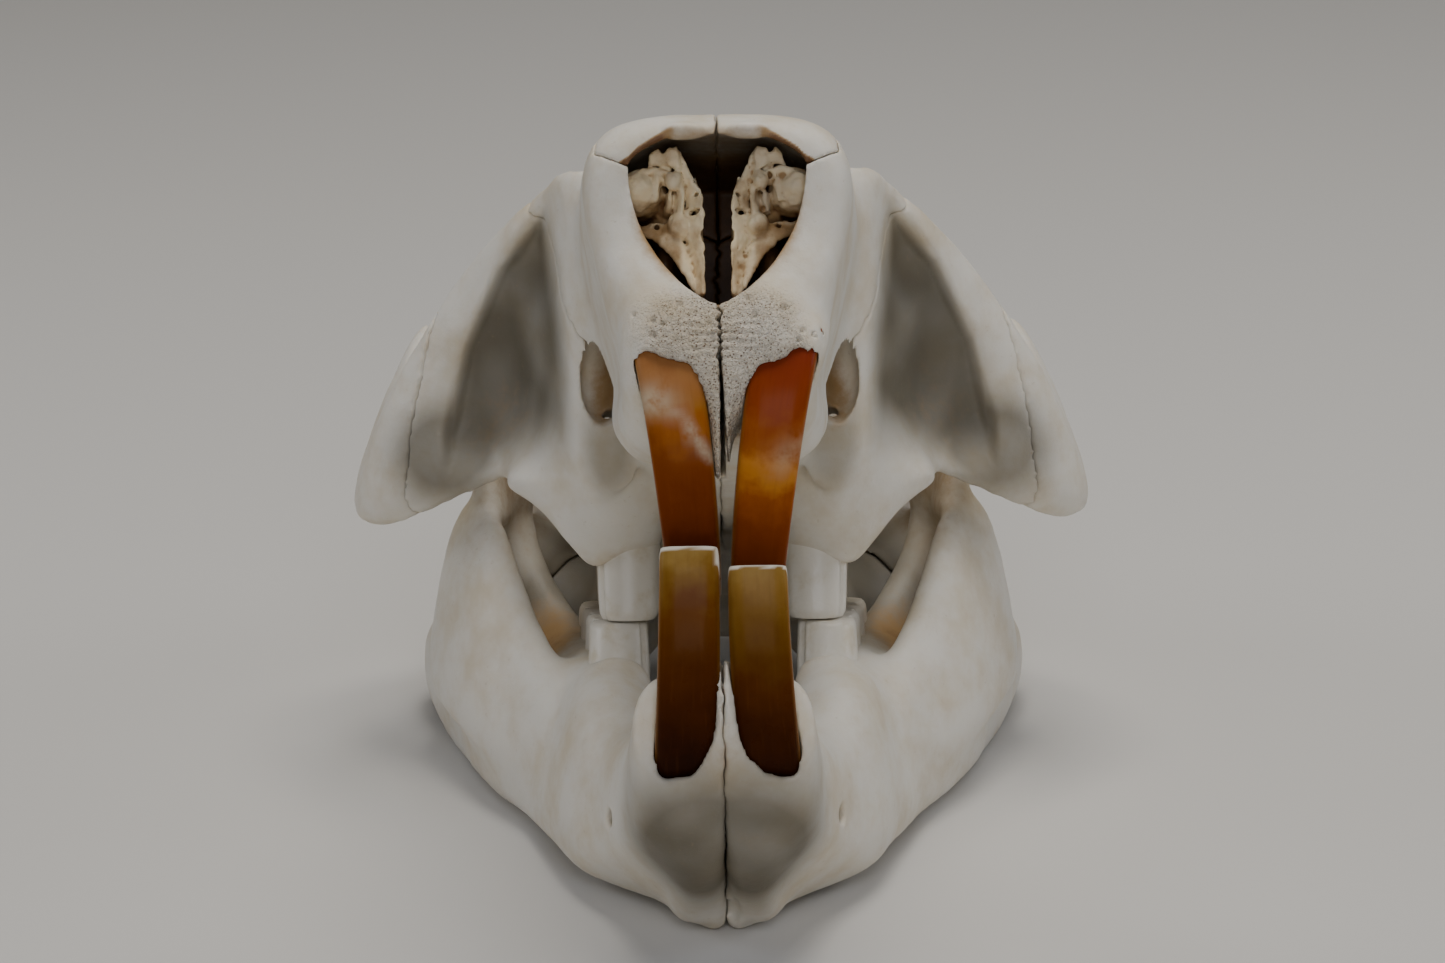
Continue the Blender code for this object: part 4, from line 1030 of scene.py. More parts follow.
def cranium_bones(seam_gap):
    """The bones of the upper skull, parted from one skin along their ruffled sutures."""
    seam = seam_gap / 2
    whole = make_cranium()
    # the middle suture is finer in the snout
    snout = {"middle": (0.0, 22.0, -18.0), "size": 36.0, "step": 0.3, "teeth": 1.3}
    # the seam between the incisors opens downwards
    wedge_gap = past((0.1, 0, -24), (1, 0, 0.05), depth=0.1)
    bones = {}
    for side, word in SIDES:
        halved = clipped(whole, "halved", keep=[halves(side, 0.16, -seam)])
        nasal, nasal_room = (on_side(nasal_column(grow), side) for grow in (0.0, seam_gap))
        frontal, frontal_room = (on_side(frontal_column(grow), side) for grow in (0.0, seam_gap))
        front = on_side(short_of(*SNOUT_SUTURE, grow=-seam), side)
        past_snout = on_side(past(*SNOUT_SUTURE, grow=-seam), side)
        fore = on_side(short_of(*VAULT_SUTURE, grow=-seam), side)
        aside = on_side(past(*CHEEK_SUTURE, grow=-seam, depth=0.3), side)
        inside = on_side(short_of(*CHEEK_SUTURE, grow=-seam, depth=0.3), side)
        ahead_of_root = on_side(short_of(*ARCH_SUTURE, grow=-seam, depth=0.3), side)
        cheek_room = on_side(block((28, 50, -45), (70, 104, 12)), side)
        bones[f"nasal_{word}"] = clipped(halved, "nasal", keep=[nasal])
        bones[f"premaxilla_{word}"] = clipped(
            whole,
            "premaxilla",
            keep=[front, halves(side, 0.5, -seam, **snout)] + ([wedge_gap] if side > 0 else []),
            drop=[nasal_room, upper_incisor(side, SOCKET_GAP), over_tooth(side, True, -6.0, True)],
        )
        bones[f"frontal_{word}"] = clipped(halved, "frontal", keep=[frontal, fore], drop=[nasal_room])
        bones[f"jugal_{word}"] = clipped(halved, "jugal", keep=[cheek_room, aside, ahead_of_root])
        bones[f"maxilla_{word}"] = clipped(
            halved, "maxilla", keep=[past_snout, fore, inside], drop=[nasal_room, frontal_room]
        )
        bones[f"ear_capsule_{word}"] = clipped(halved, "capsule", keep=[on_side(capsule_shape(), side)])
        removed(halved)
    capsules = both_sides([capsule_shape(seam_gap)])
    arch_roots = both_sides([past(*ARCH_SUTURE, grow=-seam, depth=0.3)])
    vault = [past(*VAULT_SUTURE, grow=-seam), short_of(*NECK_SUTURE, grow=-seam)]
    bones["braincase"] = clipped(whole, "braincase", keep=vault + arch_roots, drop=capsules)
    bones["occipital"] = clipped(whole, "occipital", keep=[past(*NECK_SUTURE, grow=-seam)], drop=capsules)
    removed(whole)
    return bones


# Lower jaw


def dentary_shapes():
    """The left half of the lower jaw."""
    return [
        # body, from the incisor's socket to the angle
        plate(
            (
                (4.2, 11.5, -65),
                (4.8, 20, -66),
                (6.5, 31, -68),
                (10.5, 42, -67),
                (13.6, 52, -58.5),
                (15, 63, -54.5),
                (17, 76, -50),
                (20, 88, -46),
            ),
            (
                (4.6, 12.0, -79.5),
                (4.6, 19.5, -86.0),
                (5.0, 31, -91),
                (7.0, 42, -93),
                (15, 51, -87),
                (20, 60, -81.5),
                (25.5, 71, -75.5),
                (31, 83, -69.3),
            ),
            (7.0, 7.4, 7.6, 7.6, 7.2, 6.4, 5.4, 4.4),
            square=2.6,
        ),
        # ridge that rises between the incisors and closes over the lower inner corner of each
        plate(
            ((0, 4.6, -65), (0, 5.4, -70.5), (0, 8.6, -75.3), (0, 13.0, -80.5)),
            ((0, 14, -63), (0, 15, -70), (0, 17, -76), (0, 20, -82)),
            (0.8, 2.0, 3.6, 5.6),
            square=2.6,
        ),
        # chin
        plate(
            ((1.5, 30, -80), (2.0, 40, -82), (3.0, 50, -80)),
            ((2.6, 33, -91.2), (3.0, 43, -93.9), (4.0, 49, -92.5)),
            (3.2, 4.4, 3.4),
        ),
        # bone round the roots of the cheek teeth
        plate(
            ((13.4, 55, -55.5), (14.0, 62, -54.8), (15.2, 74, -51.5), (16.8, 86, -48.5), (17.5, 91, -47)),
            ((15, 54, -70), (16, 62, -71), (18, 74, -68), (21, 86, -62), (22, 91, -58)),
            (4.6, 5.6, 5.6, 5.0, 3.4),
            square=2.8,
        ),
        # upright branch: it leaves the body, flares outwards and turns in again towards the joint
        plate(
            (
                (21, 62, -58),
                (25.5, 68.5, -48),
                (30.6, 73, -33),
                (34.5, 80, -29),
                (35.2, 87, -29),
                (32.4, 93, -29),
                (29.5, 95.5, -29),
            ),
            (
                (22, 64, -72),
                (29, 72, -69),
                (34.5, 78, -63),
                (38.6, 87, -57),
                (39.8, 94, -53),
                (37, 98.5, -46),
                (33, 98.5, -38),
            ),
            (3.6, 3.2, 2.8, 2.6, 2.6, 2.6, 2.8),
        ),
        # coronoid process
        plate(
            ((32, 74.5, -33), (32.5, 77.5, -22), (32.3, 80, -13), (32.0, 85, -6.5)),
            ((31.5, 91, -31), (31.8, 89.5, -23), (32.1, 87.5, -15), (32.0, 88.5, -8.5)),
            (2.6, 2.1, 1.8, 1.3),
        ),
        # outer wall below the upright branch
        plate(
            ((24, 70, -57), (29, 79, -54), (34, 88, -51)),
            ((25.5, 71, -75), (30, 81, -70.4), (34, 89.5, -65.2)),
            (4.2, 4.0, 3.4),
        ),
        # floor of the pocket between the teeth and the upright branch
        plate(
            ((18, 66, -57), (20, 76, -54), (24, 86, -50), (28, 93, -44)),
            ((25, 68, -61), (31, 76, -59), (36, 86, -55), (37, 93, -50)),
            (3.0, 3.2, 3.0, 2.6),
        ),
        # inner shelf that carries the row of teeth back to the joint
        rod(((19, 84, -50), (24, 91, -43), (28, 94, -35), (29.5, 93.5, -28)), (3.0, 3.0, 3.0, 2.8)),
        # jaw joint
        lobe((29.4, 92.6, -25.2), (3.4, 5.8, 3.2), spin=-10, lean=-12),
        # angle of the jaw
        plate(
            ((27, 78, -50), (34.5, 89, -46), (38.5, 98.5, -42), (40.5, 106, -40.5), (41, 112.5, -42.5)),
            (
                (30.8, 84.5, -69.4),
                (34.9, 94.3, -63.9),
                (38.5, 102.3, -58.2),
                (40.6, 107.5, -52.8),
                (JAW_HALF, 113.0, -47.3),
            ),
            (3.2, 2.8, 2.4, 2.2, 1.6),
        ),
        rod(
            ((25, 73, -72), (29, 84.5, -67.2), (33.1, 94.3, -61.7), (36.8, 102, -56.3)),
            (2.6, 2.6, 2.6, 2.4),
        ),
    ]


def dentary_bone(side, seam_gap):
    """One half of the lower jaw, cut level where it stands."""
    shapes = [on_side(shape, side) for shape in dentary_shapes()]
    shapes.append(over_tooth(side, False, -LOWER_COVER, False))
    whole = skinned(joined("dentary", shapes), MASS_VOXEL)
    heal_creases(whole, rounds=28, evenly=5)
    points = read_points(whole.data)
    # hollow outer face, where the chewing muscle ends
    points = press(points, (side * 31, 88, -54), (9, 17, 12), (side * -2.2, 0, 0))
    # the chin narrows to a keel
    points[:, 0] *= 1 - 0.42 * smoothstep(-83, -91, points[:, 2]) * smoothstep(56, 44, points[:, 1])
    write_points(whole.data, points)
    rounded(whole)
    floor = np.array([0, math.sin(REST_TILT), -math.cos(REST_TILT)])
    under = floor * -REST_LEVEL + np.array([0, math.cos(REST_TILT), math.sin(REST_TILT)]) * 25.0
    standing = short_of(under, floor, depth=0.0, size=90.0)
    nerve_hole = on_side(rod(((20, 33, -80.5), (12, 39, -79.5)), (1.9, 1.0)), side)
    notch = lobe((0.6, 35, -95.0), (1.7, 7.0, 4.4))
    bone = clipped(
        whole,
        "dentary",
        keep=[halves(side, 0.22, -seam_gap / 2), standing],
        drop=[nerve_hole, notch, lower_incisor(side, SOCKET_GAP), over_tooth(side, False, -9.0, True)],
    )
    removed(whole)
    return bone


# Teeth


def arc_place(arc, across, angle, depth):
    """Points beside an incisor's arc: at x across, at this angle in degrees, depth mm in from its front."""
    centre_y, centre_z, radius = arc
    turn = np.radians(angle)
    across, turn, reach = np.broadcast_arrays(across, turn, radius - depth)
    return np.stack([across, centre_y - reach * np.cos(turn), centre_z - reach * np.sin(turn)], -1)


def tooth_line(roots, share):
    """Middle of an incisor across the head: it closes in fast near the root and runs straight at the tip."""
    root, tip = roots
    return tip + (root - tip) * (1 - share) ** 1.6


def tooth_section(around):
    """An incisor's section at even angles: how far across, -1 to 1, and how far in from its front, 0 to 1."""
    turn = circle(around)
    across = signed_power(np.cos(turn), 2 / INCISOR_POWERS[0])
    return across, (1 - signed_power(np.sin(turn), 2 / INCISOR_POWERS[1])) / 2


def tooth_half(widths, share):
    """Half width of an incisor at this share of its length."""
    return INCISOR_WIDTH / 2 * (widths[0] + (widths[1] - widths[0]) * share)


def incisor(arc, roots, start, end, bevel, widths, grow=0.0, around=40, count=90):
    """Incisor: a D section carried along an arc in the y-z plane, from angle start to end in degrees.

    The arc is its centre's y and z and its radius. The angle is measured from straight forward, positive
    downwards. Each ring leans a little further than the one before, so that the last one is the worn
    chisel face, which ends bevel degrees short on the inner side."""
    across, inward = tooth_section(around)
    share = np.linspace(0, 1, count)[:, None]
    sweep = abs(end - start)
    worn = bevel * np.clip(inward - 0.1, 0, None) / 0.9
    angle = start + math.copysign(1, end - start) * share * (sweep - worn[None, :])
    depth = -grow + inward[None, :] * (INCISOR_DEPTH + 2 * grow)
    half = tooth_half(widths, share) + grow
    middle = tooth_line(roots, share)
    rings = arc_place(arc, middle + across[None, :] * (1 - 0.22 * inward[None, :]) * half, angle, depth)
    # the chisel face dips a little in its middle
    for scale, dip in ((0.75, 0.25), (0.4, 0.45)):
        centre = rings[count - 1].mean(0)
        ring = centre + (rings[count - 1] - centre) * scale
        inwards = rings[count - 2].mean(0) - centre
        ring = ring + inwards / np.linalg.norm(inwards) * dip
        rings = np.concatenate([rings, ring[None]])
    return closed_rings(rings)


def upper_incisor(side, grow=0.0, **fine):
    """Upper incisor. Side is 1 for the animal's left and -1 for its right."""
    return incisor(UPPER_ARC, UPPER_ACROSS[side], *UPPER_SWEEP, UPPER_BEVEL, UPPER_WIDTHS, grow, **fine)


def lower_incisor(side, grow=0.0, **fine):
    """Lower incisor, in front of the upper one's tip. The right one stands higher."""
    return incisor(LOWER_ARC, LOWER_ACROSS[side], *LOWER_SWEEP[side], LOWER_BEVEL, LOWER_WIDTHS, grow, **fine)


def over_tooth(side, upper, front, bare):
    """Slab over the front of an incisor, from the depth front inwards, that follows the edge of the bone.

    A bare slab runs from that edge to the tip and clears the tooth. The other kind runs from the root to the
    edge and covers it."""
    arc, roots = (UPPER_ARC, UPPER_ACROSS[side]) if upper else (LOWER_ARC, LOWER_ACROSS[side])
    start, end = UPPER_SWEEP if upper else LOWER_SWEEP[side]
    widths = UPPER_WIDTHS if upper else LOWER_WIDTHS
    keys, angles = np.array(UPPER_RIM[side] if upper else LOWER_RIM).T
    medial = np.linspace(-1.25 if bare else -1.12, 1.02 if upper and bare else 1.12, 90)
    edge = np.interp(medial, keys, angles)
    marks = np.stack([medial * 4, np.full_like(medial, side * 9.0), np.full_like(medial, 5.0 * upper)], 1)
    coarse, fine = (1.5, 0.7) if upper else (0.5, 0.4)
    edge = edge + coarse * lattice_noise(marks, 1.1, 21) + fine * lattice_noise(marks, 0.45, 22)
    share = np.linspace(0, 1, 60)[:, None]
    turn = math.copysign(1, end - start)
    if bare:
        angle = edge + share * (end + 14 * turn - edge)
        back, wrap = SOCKET_GAP, 0.0
    else:
        # it wraps round the corners of the tooth and sinks into the bone towards the root
        above = start - 12 * turn
        angle = above + share * (edge - above)
        corner = 1 - np.clip(np.abs(medial), 0, 0.999) ** INCISOR_POWERS[0]
        wrap = INCISOR_DEPTH * (1 - corner ** (1 / INCISOR_POWERS[1])) / 2
        back, wrap = COVER_BACK, np.minimum(wrap, 2.6) + 2.4 * smoothstep(0.7, 0.0, share)
    along = (angle - start) / (end - start)
    across = tooth_line(roots, np.clip(along, 0, 1)) - side * medial * tooth_half(widths, along)
    return shell(*(arc_place(arc, across, angle, depth + wrap) for depth in (front, back)))


def bite_level(y):
    """Height of the plane where the cheek teeth meet."""
    return BITE_FRONT_Z + BITE_RISE * (y - BITE_FRONT_Y)


def cheek_tooth(y, x, length, width, root_z, crown_z, folds, around=96, count=24):
    """Tooth column: a rounded square, pressed in at each angle of folds, carried up to the worn top."""
    angle = circle(around)
    side = width / 2 * signed_power(np.cos(angle), 2 / TOOTH_POWER)
    fore = length / 2 * signed_power(np.sin(angle), 2 / TOOTH_POWER)
    fold = np.zeros(around)
    for place in folds:
        turn = np.angle(np.exp(1j * (angle - math.radians(place))))
        fold += FOLD_DEPTH * np.exp(-((turn / FOLD_WIDTH) ** 2))
    share = np.linspace(0, 1, count)[:, None]
    # the crown swells a little below its worn top and its edge is rounded
    swell = 0.94 + 0.07 * np.sin(np.pi * share**0.7) - 0.10 * smoothstep(0.94, 1.0, share)
    rings = np.empty((count, around, 3))
    rings[:, :, 0] = x + side * (1 - fold) * swell
    rings[:, :, 1] = y + fore * (1 - 0.5 * fold) * swell
    rings[:, :, 2] = root_z + (crown_z - root_z + BITE_RISE * fore[None, :]) * share
    return closed_rings(rings)


def tooth_row(side, lower):
    """The four cheek teeth of one side, varied in length and width as UPPER_TEETH and LOWER_TEETH say."""
    shapes = []
    outer, inner = (180, 0) if lower else (0, 180)
    reach = -LOWER_ROOT if lower else UPPER_ROOT
    gap = math.copysign(BITE_GAP / 2, reach)
    for number, (y, x, length, width) in enumerate(LOWER_TEETH if lower else UPPER_TEETH):
        folds = [inner + 4 * number, outer - 32, outer + 2 * number, outer + 34]
        tooth = cheek_tooth(y, x, length, width, bite_level(y) + reach, bite_level(y) + gap, folds)
        shapes.append(on_side(tooth, side))
    return shapes


# Scrolls of thin bone in the nose


def scroll_shapes():
    """The leaves, domes and knobs in the left half of the nose."""
    return [
        # outer dome, its tail and its ragged inner lip
        lobe((9.5, 9.2, -4.5), (3.0, 5.2, 2.9), spin=8),
        rod(((9.4, 9, -4.8), (9.2, 20, -4.2), (8.8, 32, -3.6)), (2.6, 2.6, 2.3)),
        plate(
            ((9.6, 5.2, -2.5), (7.9, 4.7, -2.2), (6.5, 4.6, -2.6), (5.5, 4.8, -3.2)),
            ((9.6, 8.0, -3.2), (8.0, 7.6, -3.4), (6.9, 7.0, -3.9), (5.9, 6.4, -4.4)),
            (0.6, 0.55, 0.55, 0.6),
        ),
        plate(
            ((7.4, 4.8, -2.8), (7.3, 4.9, -4.4), (7.8, 5.3, -6.4)),
            ((8.6, 8, -2.6), (8.7, 8, -4.6), (9.0, 8, -6.6)),
            (0.4, 0.45, 0.4),
        ),
        # spongy knob, and the floor of the hollow behind it
        lobe((5.4, 5.3, -3.9), (1.05, 1.4, 1.25)),
        lobe((6.2, 15.8, -6.4), (3.1, 6.8, 3.9)),
        # short upright leaves between the dome and the slot
        plate(
            ((4.5, 5.3, -3.6), (4.2, 5.0, -5.6), (4.5, 5.6, -8.0)),
            ((5.8, 9.6, -3.9), (5.7, 9.6, -5.8), (5.9, 9.6, -8.2)),
            (0.42, 0.42, 0.42),
        ),
        plate(
            ((5.9, 5.6, -4.8), (5.9, 6.2, -6.0), (6.3, 7.2, -7.4)),
            ((6.7, 9.4, -5.0), (6.5, 9.4, -6.2), (6.8, 9.8, -7.6)),
            (0.34, 0.36, 0.4),
        ),
        # band along the slot, from the roof to the floor, and its long tail
        plate(
            (
                (4.6, 5.2, 0.2),
                (3.3, 5.0, -3.0),
                (1.95, 4.9, -5.8),
                (1.75, 4.8, -8.0),
                (1.6, 4.8, -11.0),
                (1.65, 4.8, -14.5),
                (1.75, 5.0, -18.6),
            ),
            (
                (5.6, 6.6, -0.6),
                (4.7, 6.6, -3.6),
                (3.9, 7.4, -6.2),
                (4.5, 7.6, -8.4),
                (4.2, 7.4, -11.0),
                (3.4, 7.2, -14.5),
                (2.9, 7.0, -18.4),
            ),
            (0.4, 0.42, 0.42, 0.45, 0.42, 0.4, 0.4),
        ),
        plate(
            ((2.8, 6, -3), (2.2, 6, -10), (2.1, 6, -18.5)),
            ((3.2, 32, -3), (2.6, 32, -10), (2.4, 32, -15)),
            (0.5, 0.5, 0.4),
        ),
        lobe((4.8, 7.6, -9.3), (1.6, 2.6, 1.9)),
        # lining of the outer wall below the dome
        plate(
            ((10.9, 6.2, -7.5), (10.3, 6.0, -10.0), (8.9, 5.6, -13.2), (6.6, 5.2, -16.8), (3.6, 5.2, -20.0)),
            ((10.2, 24, -7.5), (9.8, 24, -10.0), (8.6, 24, -13.0), (6.2, 24, -16.0), (3.6, 24, -18.6)),
            (0.5, 0.5, 0.5, 0.5, 0.5),
        ),
        # bottom of the hollow between that wall and the plate below
        lobe((6.7, 17.0, -13.4), (2.0, 6.5, 4.2)),
        # slanting plate below, from the outer wall down to the floor
        plate(
            (
                (11.2, 10.5, -8.4),
                (8.8, 8.8, -8.3),
                (7.0, 7.8, -8.6),
                (5.4, 7.0, -9.8),
                (4.3, 6.6, -11.6),
                (3.5, 6.2, -14.4),
            ),
            (
                (11.0, 8.6, -9.4),
                (8.4, 7.4, -10.9),
                (6.6, 6.6, -12.4),
                (4.9, 6.1, -15.0),
                (3.9, 5.8, -16.6),
                (3.1, 5.6, -18.2),
            ),
            (0.45, 0.5, 0.5, 0.5, 0.45, 0.4),
        ),
        # ragged leaf below the roof and its tail
        plate(
            ((8.6, 6.2, -1.7), (7.3, 5.6, -1.6), (6.0, 5.2, -1.9), (4.6, 5.0, -3.0)),
            ((8.4, 5.4, -0.3), (7.4, 5.2, 0.5), (6.2, 5.0, 0.4), (4.9, 5.0, 0.8)),
            (0.45, 0.5, 0.5, 0.45),
        ),
        rod(((6.4, 5.8, -1.9), (6.4, 18, -0.8), (6.4, 31, 0.2)), (0.7, 1.2, 1.0)),
    ]


def scroll_holes():
    """Notches and holes that time has worn into the scrolls."""
    return [
        lobe((6.7, 5, 0.7), (0.5, 3, 1.2)),
        lobe((8.9, 5, 0.2), (0.55, 3, 0.7)),
        lobe((5.6, 5, 0.9), (0.3, 3, 0.6)),
        lobe((7.7, 5, -9.2), (0.5, 5, 0.5)),
        lobe((9.3, 6, -8.0), (0.6, 5, 0.8)),
        lobe((2.6, 5, -5.6), (0.4, 2.6, 0.45)),
        lobe((3.0, 5, -7.7), (0.9, 2.2, 0.38)),
        lobe((1.75, 5, -11.0), (0.35, 2.6, 0.8)),
        lobe((6.6, 4.6, -3.2), (0.3, 2, 0.45)),
    ]


def turbinate_bone(side):
    """The scrolls of one half of the nose, fused, worn and roughened at their edges."""
    whole = joined("turbinate", scroll_shapes())
    for shape in scroll_holes():
        boolean(whole, shape, "DIFFERENCE")
    skinned(whole, SCROLL_VOXEL)
    softened(whole, 2)
    points, normals = read_points(whole.data), read_normals(whole.data)
    marks = points + side * 50.0
    front = smoothstep(8.5, 5.5, points[:, 1])
    lift = 0.2 * lattice_noise(marks, 1.3, 41) + 0.12 * lattice_noise(marks, 0.55, 42)
    worn = smoothstep(-0.1, 0.4, lattice_noise(marks, 2.4, 44))
    lift -= 0.22 * front * pit_field(marks, 0.8, 43, 0.36) * worn
    points += normals * lift[:, None]
    write_points(whole.data, points)
    if side < 0:
        turn_over(whole)
    return whole


def turn_over(obj):
    """Mirrors the object's mesh across the middle plane."""
    mesh = obj.data
    write_points(mesh, read_points(mesh) * MIRROR)
    mesh.flip_normals()


# Finishing: fine relief, the marks that the materials read, and the place in the frame


def porous_share(points):
    """1 on the spongy bone round the lower rim of the nose, 0 away from it."""
    front = near(points, (0, -1, -26.5), (15, 15, 12.5)) * smoothstep(14.0, 8.5, np.abs(points[:, 0]))
    wedge = near(points, (0.4, 1, -36), (6, 11, 13))
    patchy = 0.85 + 0.5 * lattice_noise(points, 2.6, 18)
    return np.clip((2.4 * front + 2.0 * wedge) * patchy, 0, 1) * smoothstep(-16.0, -22.5, points[:, 2])


def nutrient_pits(points):
    """Single small holes in the front of the snout: x, z and radius in mm."""
    depth = np.zeros(len(points))
    for x, z, radius in SNOUT_PITS:
        away = np.hypot(points[:, 0] - x, points[:, 2] - z)
        depth += smoothstep(1.0, 0.3, away / radius) * smoothstep(10, 6, points[:, 1])
    return depth


def strongest(points, places, rise):
    """The strongest of the places at each point: centre, radii and strength, alike on both sides."""
    folded = points.copy()
    folded[:, 0] = np.abs(points[:, 0])
    best = np.zeros(len(points))
    for centre, radii, strength in places:
        best = np.maximum(best, strength * np.clip(rise * near(folded, centre, radii), 0, 1))
    return best


def stain_and_shade_share(points):
    """How brown the bone is, from the hollows listed at the top and a slow noise; deep inside the nose this
    browning is painted shade.
    """
    cloud = 0.5 + 0.5 * lattice_noise(points, 6.0, 31) + 0.3 * lattice_noise(points, 1.9, 32)
    return np.clip(strongest(points, STAINS_AND_SHADE, 1.0) * (0.75 + 0.5 * cloud), 0, 1)


def nasal_stain_and_shade(points, stain):
    """The nasal bones' marks: a brown band under the lip of the nose, their colour and also painted shade
    under the lip, and a roof pale in front that turns to painted shade deeper in the nose.
    """
    across = np.abs(points[:, 0])
    lip = np.interp(across, (0, 5.6, 8, 9.9, 11.05, 13), (1.1, 1.1, 0, -1.1, -2.2, -3.2))
    width = np.interp(across, (5.6, 8, 13), (1.2, 0.6, 0.5))
    # the band under the lip is the bone's brown and also painted shade under the lip, stronger at the sides
    worn = 0.16 + 0.7 * smoothstep(4.6, 7.6, across)
    worn *= smoothstep(1.0, 0.15, (points[:, 2] - lip) / width) * smoothstep(9, 4, points[:, 1])
    # the roof may darken only deeper in the nose, as painted shade
    roof = 0.2 + 0.8 * smoothstep(18, 36, points[:, 1])
    return np.maximum(np.minimum(stain, roof), worn)


def paint(mesh, **marks):
    """Stores numbers at the mesh's points, by name, for the materials to read."""
    for name, values in marks.items():
        layer = mesh.attributes.new(name, "FLOAT", "POINT")
        layer.data.foreach_set("value", np.asarray(values, np.float32))


def placed(points):
    """Points in millimetres in the cranial frame, moved to metres in the frame of the model."""
    cos, sin = math.cos(REST_TILT), math.sin(REST_TILT)
    x, y, z = points.T
    world = np.stack([x, y * cos + z * sin + REST_BACK, -y * sin + z * cos - REST_LEVEL], 1)
    world[:, 2] = np.maximum(world[:, 2], 0)
    return world * MM


def finished(obj, name, material, nodes, sharp=None):
    """The piece in its place, smooth, in its finish, standing for its nodes."""
    mesh = obj.data
    obj.name = name
    mesh.name = name
    write_points(mesh, placed(read_points(mesh)))
    mesh.materials.clear()
    mesh.materials.append(material)
    mesh.shade_smooth()
    if sharp:
        mesh.set_sharp_from_angle(angle=math.radians(sharp))
    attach(obj, "root")
    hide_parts(*nodes)
    return obj


def snout_relief(points, porous):
    """Relief of the spongy bone round the incisors in mm.

    It is made of pits of two sizes, a fine grain, ridges across the seam and single holes."""
    ridges = np.sin(2 * np.pi * points[:, 2] / RIDGE_SPACING + 2.2 * lattice_noise(points, 1.6, 14))
    ridged = near(points, (0, -1, -26.0), (7.5, 9, 4.5))
    pits = 0.14 * pit_field(points, 0.9, 15, 0.3) + 0.09 * pit_field(points, 0.55, 16, 0.45)
    grain = 0.06 * lattice_noise(points, 0.7, 17)
    return 0.2 * ridged * ridges + porous * (grain - pits) - 0.5 * nutrient_pits(points)


def finished_bone(obj, name, material, relief):
    """Gives a parted bone an even fine skin with soft edges, its relief and its marks."""
    kind = name.rsplit("_", 1)[0]
    skinned(obj, VOXELS.get(kind, PLAIN_VOXEL))
    softened(obj, 2)
    mesh = obj.data
    points, normals = read_points(mesh), read_normals(mesh)
    level = -points[:, 1] * math.sin(REST_TILT) + points[:, 2] * math.cos(REST_TILT) - REST_LEVEL
    lift = 0.11 * lattice_noise(points, 8.0, 11) + 0.05 * lattice_noise(points, 2.6, 12)
    lift += 0.02 * lattice_noise(points, 0.9, 13)
    porous = np.zeros(len(points))
    if kind == "premaxilla":
        porous = porous_share(points)
        lift += snout_relief(points, porous)
    # the flats that the skull stands on stay flat
    points += normals * (lift * relief * smoothstep(0.0, 1.2, level))[:, None]
    write_points(mesh, points)
    # brown marks, with painted shade deep inside the nose
    stain = stain_and_shade_share(points)
    if kind == "nasal":
        stain = nasal_stain_and_shade(points, stain)
    # painted shade: greys the hollow on the front of the wing, the underside of the chin and the other
    # hollows listed at the top; in the wing's hollow it is also the bone's own grey-brown
    painted_shade_share = np.maximum(wing_share(points), strongest(points, PAINTED_SHADES, 1.6))
    dusk = painted_shade_share * (0.95 + 0.14 * lattice_noise(points, 5.0, 33))
    paint(mesh, stain=stain, dusk=np.clip(dusk, 0, 1), porous=porous)
    return finished(obj, name, material, [name])


# Materials


def linear(code):
    """Linear colour of an sRGB hex code."""
    channels = (int(code[k : k + 2], 16) / 255 for k in (1, 3, 5))
    return (*(c / 12.92 if c <= 0.04045 else ((c + 0.055) / 1.055) ** 2.4 for c in channels), 1.0)


def add(tree, kind, inputs=None, output=0, **settings):
    """Adds a node with its settings, links or sets its inputs, and gives back one of its outputs."""
    node = tree.nodes.new("ShaderNode" + kind)
    for key, value in settings.items():
        setattr(node, key, value)
    fill(tree, node, inputs or {})
    return node.outputs[output]


def fill(tree, node, inputs):
    """Links each of these inputs of the node to a socket, or sets it to a value."""
    for key, value in inputs.items():
        if isinstance(value, bpy.types.NodeSocket):
            tree.links.new(value, node.inputs[key])
        else:
            node.inputs[key].default_value = value


def new_material(name, sizes, marks=()):
    """A material, its tree, its Object coordinates, and the values of its noises and marks by name.

    A noise in sizes is the size of its largest shapes in mm, its detail and its roughness. A mark is a number
    that the piece carries at its points, as paint stored it."""
    material = bpy.data.materials.new(name)
    material.use_nodes = True
    tree = material.node_tree
    where = add(tree, "TexCoord", output="Object")
    fields = {mark: add(tree, "Attribute", output="Fac", attribute_name=mark) for mark in marks}
    for key, (size, detail, roughness) in sizes.items():
        inputs = {"Vector": where, "Scale": 1 / (size * MM), "Detail": detail, "Roughness": roughness}
        fields[key] = add(tree, "TexNoise", inputs, "Fac")
    return material, tree, where, fields


def dress(tree, colour, layers, reliefs, inputs):
    """Lays the layers of colour over the first and the reliefs over each other, and sets the other inputs.

    A layer is a value, its kind of rise, where it starts and ends, its share there and its hex code. A relief
    is a height from 0 to 1 and its depth in mm."""
    for value, rise, start, end, most, code in layers:
        limits = {"Value": value, "From Min": start, "From Max": end, "To Max": most}
        share = add(tree, "MapRange", limits, interpolation_type=rise)
        colour = add(tree, "Mix", {0: share, 6: colour, 7: linear(code)}, 2, data_type="RGBA")
    shader = {"Base Color": colour, **inputs}
    below = {}
    for height, depth in reliefs:
        shader["Normal"] = add(tree, "Bump", {"Height": height, "Distance": depth * MM, **below}, "Normal")
        below = {"Normal": shader["Normal"]}
    fill(tree, tree.nodes["Principled BSDF"], shader)


# noises of the bone
BONE_SIZES = {
    "cloud": (9.0, 4.0, 0.6),
    "fleck": (0.9, 3.0, 0.7),
    "veil": (1.6, 4.0, 0.65),
    "thread": (0.4, 2.0, 0.6),
    "grain": (0.35, 3.0, 0.6),
    "swell": (2.2, 3.0, 0.6),
    "gloss": (3.0, 2.0, 0.5),
}
# distance between the pores of the spongy bone, drawn as coarse as they need to show
PORE_SPACING = 0.42
# the solids around come with a material called bone, so this one has a name of its own
BONE_NAME = "dry bone"


